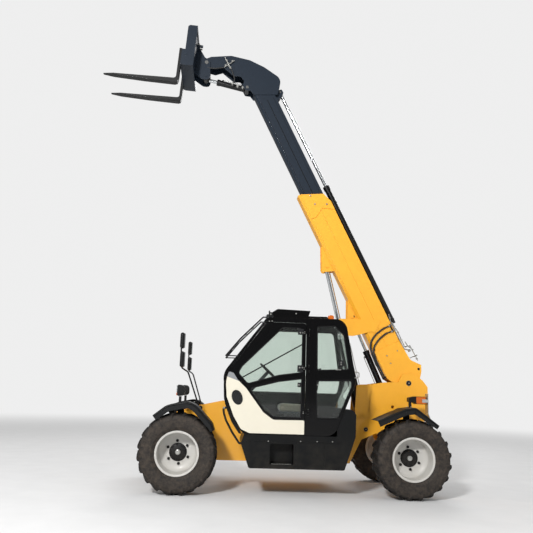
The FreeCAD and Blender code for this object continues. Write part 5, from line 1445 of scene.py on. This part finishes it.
hose_skin = hose_rubber()
hose_y = 163
outer_hose = ((992, 162), (1000, 60), (975, -90), (935, -190), (860, -290), (720, -346), (480, -356),
              (240, -346))
inner_hose = ((891, 161), (905, 60), (885, -60), (840, -170), (778, -265), (660, -324), (440, -326),
              (240, -318))
for name, route in (("boom_hose_outer", outer_hose), ("boom_hose_inner", inner_hose)):
    smooth_hose(name, [(x, hose_y, z) for x, z in route], 12, hose_skin, "boom_outer", on_boom,
                ["boom_hoses"])
for name, route in (("hose_sleeve_outer", outer_hose), ("hose_sleeve_inner", inner_hose)):
    smooth_hose(name, [(x, hose_y + 2, z) for x, z in route[1:-1]], 15, hose_skin, "boom_outer", on_boom,
                [])
clamps = bmesh.new()
rounded_block(clamps, (870, 150, 150), (1015, 175, 176), 3, 2, on_boom)
rounded_block(clamps, (228, 150, -362), (262, 175, -290.5), 3, 2, on_boom)
piece("hose_clamps", clamps, rail_paint, "boom_outer", ["boom_hoses"])
fittings = bmesh.new()
for x, z in ((992, 162), (891, 161)):
    turned(fittings, [(0, 0), (14, 0), (15, 1), (15, 34), (13, 36), (0, 36)], 6,
           on_boom @ Vector((x, hose_y, z + 2)), boom_up * -1)
for x, foot in ((1012, 100), (908, 70)):
    tube(fittings, bent([(x, foot, 232), (x, hose_y, 232), (x - 10, hose_y, 140)], 34), 11, on_boom, 16)
piece("hose_ends", fittings, bright_steel, "boom_outer")
pipes = bmesh.new()
for y, port in ((90, 1120), (120, 1180)):
    line = [(port, 66, 256), (1060, y, 214), (540, y, 214), (479, y, 292)]
    tube(pipes, bent(line, 40), 9, on_boom, 14)
piece("boom_pipes_bent", pipes, bright_steel, "boom_outer", ["boom_pipes"])
clamps = bmesh.new()
for x in (960, 760, 560):
    rounded_block(clamps, (x, 76, 190), (x + 24, 134, 225), 3, 2, on_boom)
rounded_block(clamps, (455, 74, 272), (500, 136, 306), 4, 2, on_boom)
piece("pipe_clamps", clamps, bright_steel, "boom_outer", ["boom_pipes"])
tees = bmesh.new()
tee_y = 104
for line in (((1016, 232), (835, 252), (562, 244), (549, 337)), ((640, 290), (549, 300), (470, 352)),
             ((549, 337), (354, 344), (262, 346)), ((358, 240), (354, 344), (352, 380))):
    tube(tees, bent([(x, tee_y, z) for x, z in line], 24), 8, on_boom, 14)
for x, z in ((562, 262), (549, 318), (470, 348), (354, 326), (354, 362), (300, 345), (835, 252),
             (700, 248)):
    turned(tees, [(0, -15), (13, -15), (15, -13), (15, 13), (13, 15), (0, 15)], 6,
           on_boom @ Vector((x, tee_y, z)), boom_up)
piece("tail_tees", tees, bright_steel, "boom_outer")


# Inner boom. A smaller box that slides in the outer one, folded from two channels with a long weld
# down each side, sprayed slate grey.
slate_paint = sprayed_paint("slate_grey_paint", slate, 0.45, 0.05, shine=0.2)
# Black paint for the cylinders and seams, and also used as painted shade on the boom head's web.
black_paint_and_web_shade = sprayed_paint("black_cylinder_paint", "#0b0c0e", 0.3, 0.3, shine=0.2)
eased("boom_inner", slate_paint, 3, 2)
seams = bmesh.new()
for side in (1, -1):
    y0, y1 = sorted((side * 109, side * 110.6))
    for z0, z1 in ((84, 90), (-40, -28), (-172, -166)):
        rounded_block(seams, (3300, y0, z0), (5625, y1, z1), 0.5, 1, on_boom)
piece("inner_boom_seams", seams, black_paint_and_web_shade, "boom_inner")


# Extension cylinder. A black seamless barrel strapped to the boom's back, a screwed gland,
# and a hard-chromed rod 58 mm across that draws the inner boom out.
def chromed_rod():
    """Hard chrome, ground: a clear mirror with a hair-fine turned grain and a film of oil."""
    made, tree = blank("hard_chromed_steel")
    place = add(tree, "TexCoord").outputs["Object"]
    film = add(tree, "TexNoise", {"Vector": place, "Scale": 8, "Detail": 5})
    rough = add(tree, "MapRange", {"Value": film.outputs["Fac"], "To Min": 0.08, "To Max": 0.2})
    grain = add(tree, "TexNoise", {"Vector": place, "Scale": 700, "Detail": 2})
    relief = add(tree, "Bump", {"Height": grain.outputs["Fac"], "Strength": 0.04, "Distance": 0.0002})
    shade = add(tree, "BsdfPrincipled", {"Base Color": linear("#cfd2d4"), "Metallic": 1.0,
                                         "Roughness": rough.outputs["Result"],
                                         "Normal": relief.outputs[0]})
    add(tree, "OutputMaterial", {"Surface": shade.outputs[0]})
    return made


chrome = chromed_rod()


def eye_ring(shape, place, at, inner, outer, half, chamfer=2):
    """A bored eye about a line across the machine, its rims eased."""
    middle = place @ Vector(at)
    turned(shape, [(inner, -half), (outer - chamfer, -half), (outer, chamfer - half),
                   (outer, half - chamfer), (outer - chamfer, half), (inner, half)], 48, middle,
           (0, 1, 0), closed=True)


back, front, rod_end, height = 1000, 3720, 5700, 268
extension_origin = on_boom @ Vector((0, 0, height))
shape = bmesh.new()
turned(shape, [(0, back), (48, back), (52, back + 5), (52, front - 80), (0, front - 80)], 56,
       extension_origin, boom_along)
for x in (back + 60, 3365):
    rounded_block(shape, (x, -62, 189), (x + 30, 62, 222), 3, 2, on_boom)
    turned(shape, [(53, x), (57, x), (57, x + 30), (53, x + 30)], 56, extension_origin, boom_along,
           closed=True)
piece("extension_barrel_turned", shape, black_paint_and_web_shade, "boom_outer", ["extension_barrel"])
shape = bmesh.new()
turned(shape, [(52, front - 80), (60, front - 80), (60, front - 4), (56, front), (30, front),
               (30, front - 80)], 56, extension_origin, boom_along, closed=True)
piece("extension_gland", shape, black_paint_and_web_shade, "boom_outer", ["extension_barrel"])
shape = bmesh.new()
turned(shape, [(0, front - 120), (29, front - 120), (29, rod_end - 30), (0, rod_end - 30)], 48,
       extension_origin, boom_along)
piece("extension_rod_chromed", shape, chrome, "boom_inner", ["extension_rod"])
shape = bmesh.new()
eye_ring(shape, on_boom, (rod_end, 0, height), 20, 45, 29.5)
piece("extension_eye", shape, black_paint_and_web_shade, "boom_inner", ["extension_rod"])
shape = bmesh.new()
pin(shape, on_boom @ Vector((rod_end, 0, height)), 20, 48, 36)
piece("extension_pin", shape, pin_steel, "boom_inner", ["extension_rod"])


# Boom head. A gooseneck of two thick side plates with a web between them, its edges profiled by
# flame and dressed, sprayed slate; the web between the proud plates is painted black, as painted shade
# for the dark channel they leave.
head_from = 5640
head_top = ((-1, 175), (88, 255, 60), (262, 372, 160), (588, 185, 200), (822, -4, 160),
            (1036, -286, 160), (1160, -640, 60))
head_under = ((1160, -810, 60), (1010, -830, 40), (995, -774), (906, -667), (891, -525), (639, -410),
              (598, -301, 60), (490, -275), (410, -330, 40), (310, -330, 40), (260, -245), (167, -225))
head_hollow = ((-40, 100), (88, 243), (262, 356, 150), (578, 173, 190), (811, -12, 150),
               (1022, -290, 150), (1130, -610))


def past_inner(corners):
    """Corners measured from the inner boom's front end."""
    return [(head_from + c[0], *c[1:]) for c in corners]


head_line = past_inner(head_top + head_under)
for name, y0, y1 in (("near", 110, 122), ("far", -122, -110)):
    piece("head_plate_" + name, slab(head_line, y0, y1, on_boom, edge=3, steps=2), slate_paint,
          "boom_inner", ["boom_head"])
web = past_inner([(88, 250, 60), (262, 366, 158), (588, 179, 198), (822, -10, 158), (1034, -292, 158),
                  (1154, -640, 55), (1130, -650)] + list(head_hollow[:0:-1]))
# The web is painted black as painted shade in the channel between the slate plates.
piece("head_web", slab(web, -110, 110, on_boom, edge=2), black_paint_and_web_shade, "boom_inner",
      ["boom_head"])
shape = bmesh.new()
for x, z, radius, reach in ((6717, -764, 35, 154), (5990, -272, 28, 128)):
    pin(shape, on_boom @ Vector((x, 0, z)), radius, reach)
piece("head_pins", shape, pin_steel, "boom_inner", ["boom_head"])
shape = bmesh.new()
for points in ([(6674, 146, -414), (6541, 146, -414), (6422, 146, -409)],
               [(6500, 146, -507), (6554, 146, -276)]):
    tube(shape, points, 10, on_boom, 14)
for x, z in ((6541, -414), (6600, -414), (6450, -410), (6520, -470), (6550, -320), (6146, -500),
             (6063, -436), (6005, -360)):
    turned(shape, [(0, -24), (18, -24), (21, -21), (21, 21), (18, 24), (0, 24)], 6,
           on_boom @ Vector((x, 142, z)))
piece("head_tees", shape, bright_steel, "boom_inner")
front_route = ((6617, 136, -789), (6560, 142, -700), (6520, 146, -600), (6500, 146, -507))
down_route = ((6422, 146, -409), (6395, 152, -404), (6290, 156, -416), (6182, 152, -429),
              (6150, 142, -490))
for name, points in (("head_hose_front", front_route), ("head_hose_down", down_route)):
    smooth_hose(name, points, 11, hose_skin, "boom_inner", on_boom, [])


# Lift, levelling and tilt cylinders. Seamless black barrels with a screwed gland, a welded foot eye
# and a feed pipe, and hard-chromed rods with forged eyes.
foot_width = 92


def cylinder(name, reach, length, start, wide, thin, foot, eye, foot_half, eye_half, pin_half,
             pipe_side):
    """Barrel and rod along the line from the foot pin to the rod's eye."""
    body, node = name + "_barrel", [name + "_barrel"]
    foot_at = Vector(joint[name + "_swing"]["pos_m"])
    along = Vector(joint[name + "_stroke"]["axis"]).normalized()
    up = Vector((-along.z, 0, along.x))
    line = Matrix.Translation(foot_at) @ Matrix((along, (0, 1, 0), up)).transposed().to_4x4()
    line = line @ Matrix.Scale(0.001, 4)
    barrel = bmesh.new()
    turned(barrel, [(0, foot + 12), (wide - 8, foot + 12), (wide, foot + 22), (wide, length - 60),
                    (0, length - 60)], 56, foot_at, along)
    eye_ring(barrel, line, (0, 0, 0), foot + 0.3, foot + 24, min(foot_half, foot_width), 3)
    if foot_half > foot_width:
        for side in (1, -1):
            turned(barrel, [(foot + 0.3, foot_width), (foot + 12, foot_width), (foot + 12, foot_half),
                            (foot + 0.3, foot_half)], 40, foot_at, (0, side, 0), closed=True)
    rounded_block(barrel, (foot + 8, -wide * 0.7, -wide * 0.5), (foot + 34, wide * 0.7, wide * 0.5),
                  4, 2, line)
    for x in (foot + 70, length - 110):
        z0, z1 = sorted((pipe_side * (wide - 6), pipe_side * (wide + 14)))
        rounded_block(barrel, (x, -16, z0), (x + 34, 16, z1), 3, 2, line)
    piece(name + "_barrel_turned", barrel, black_paint_and_web_shade, body, node)
    gland = bmesh.new()
    turned(gland, [(wide - 4, length - 60), (wide + 6, length - 60), (wide + 6, length - 4),
                   (wide + 3, length), (thin + 1, length), (thin + 1, length - 60)], 56, foot_at,
           along, closed=True)
    piece(name + "_gland", gland, black_paint_and_web_shade, body, node)
    feed = bmesh.new()
    low, high = pipe_side * (wide + 12), pipe_side * (wide + 24)
    feed_line = ((foot + 87, 0, low), (foot + 87, 0, high), (length - 93, 0, high),
                 (length - 93, 0, low))
    tube(feed, bent(feed_line, 14), 6, line, 12)
    piece(name + "_feed_pipe", feed, bright_steel, body)
    body, node = name + "_rod", [name + "_rod"]
    rod = bmesh.new()
    turned(rod, [(0, start), (thin, start), (thin, reach - eye + 8), (0, reach - eye + 8)], 48,
           foot_at, along)
    piece(name + "_rod_chromed", rod, chrome, body, node)
    end = bmesh.new()
    eye_ring(end, line, (reach, 0, 0), 25, eye, eye_half, 3)
    turned(end, [(0, reach - eye - 22), (thin + 2, reach - eye - 22), (thin + 10, reach - eye + 8),
                 (thin + 6, reach - eye + 22), (0, reach - eye + 22)], 40, foot_at, along)
    piece(name + "_rod_eye", end, black_paint_and_web_shade, body, node)
    rod_pin = bmesh.new()
    pin(rod_pin, line @ Vector((reach, 0, 0)), 25, max(pin_half, eye_half), 36, 1)
    piece(name + "_rod_pin", rod_pin, pin_steel, body, node)


# name, reach, barrel length, rod start, radii of barrel, rod, foot pin and eye, half widths of foot,
# eye and pin, side that the feed pipe runs on
cylinder("lift", 2815.3, 1530, 1320, 82, 42, 36, 52, 184.5, 61.5, 0, 1)
cylinder("level", 1627.4, 1010, 800, 50, 26, 25, 42, 61.5, 61.5, 0, -1)
cylinder("tilt", 784.7, 570, 232, 52, 30, 28, 45, 109.5, 61.5, 127.5, 1)


# Fork carriage and forks. A welded frame of thick plate in slate on two ears, with the forged forks
# hung on its shaft: black paint scraped to bright steel along their blades and heels.
eased("fork_carriage", slate_paint, 3, 2)
fork_steel = sprayed_paint("scraped_black_fork_paint", "#101112", 0.5, 0.05, dust_from=-5, wear=0.25,
                           metal="#55565a", shine=0.25)
eased("forks", fork_steel, 5, 3)
couplers = bmesh.new()
for y in (-60, 60):
    rounded_block(couplers, (168, y - 34, 330), (200, y + 34, 392), 4, 2, on_carriage)
    turned(couplers, [(0, 0), (16, 0), (17, 2), (17, 30), (13, 32), (13, 46), (0, 46)], 24,
           on_carriage @ Vector((170, y, 362)), on_carriage.to_3x3() @ Vector((-1, 0, 0)))
piece("carriage_couplers", couplers, bright_steel, "carriage")


# Brings every piece's place up to date.
bpy.context.view_layer.update()
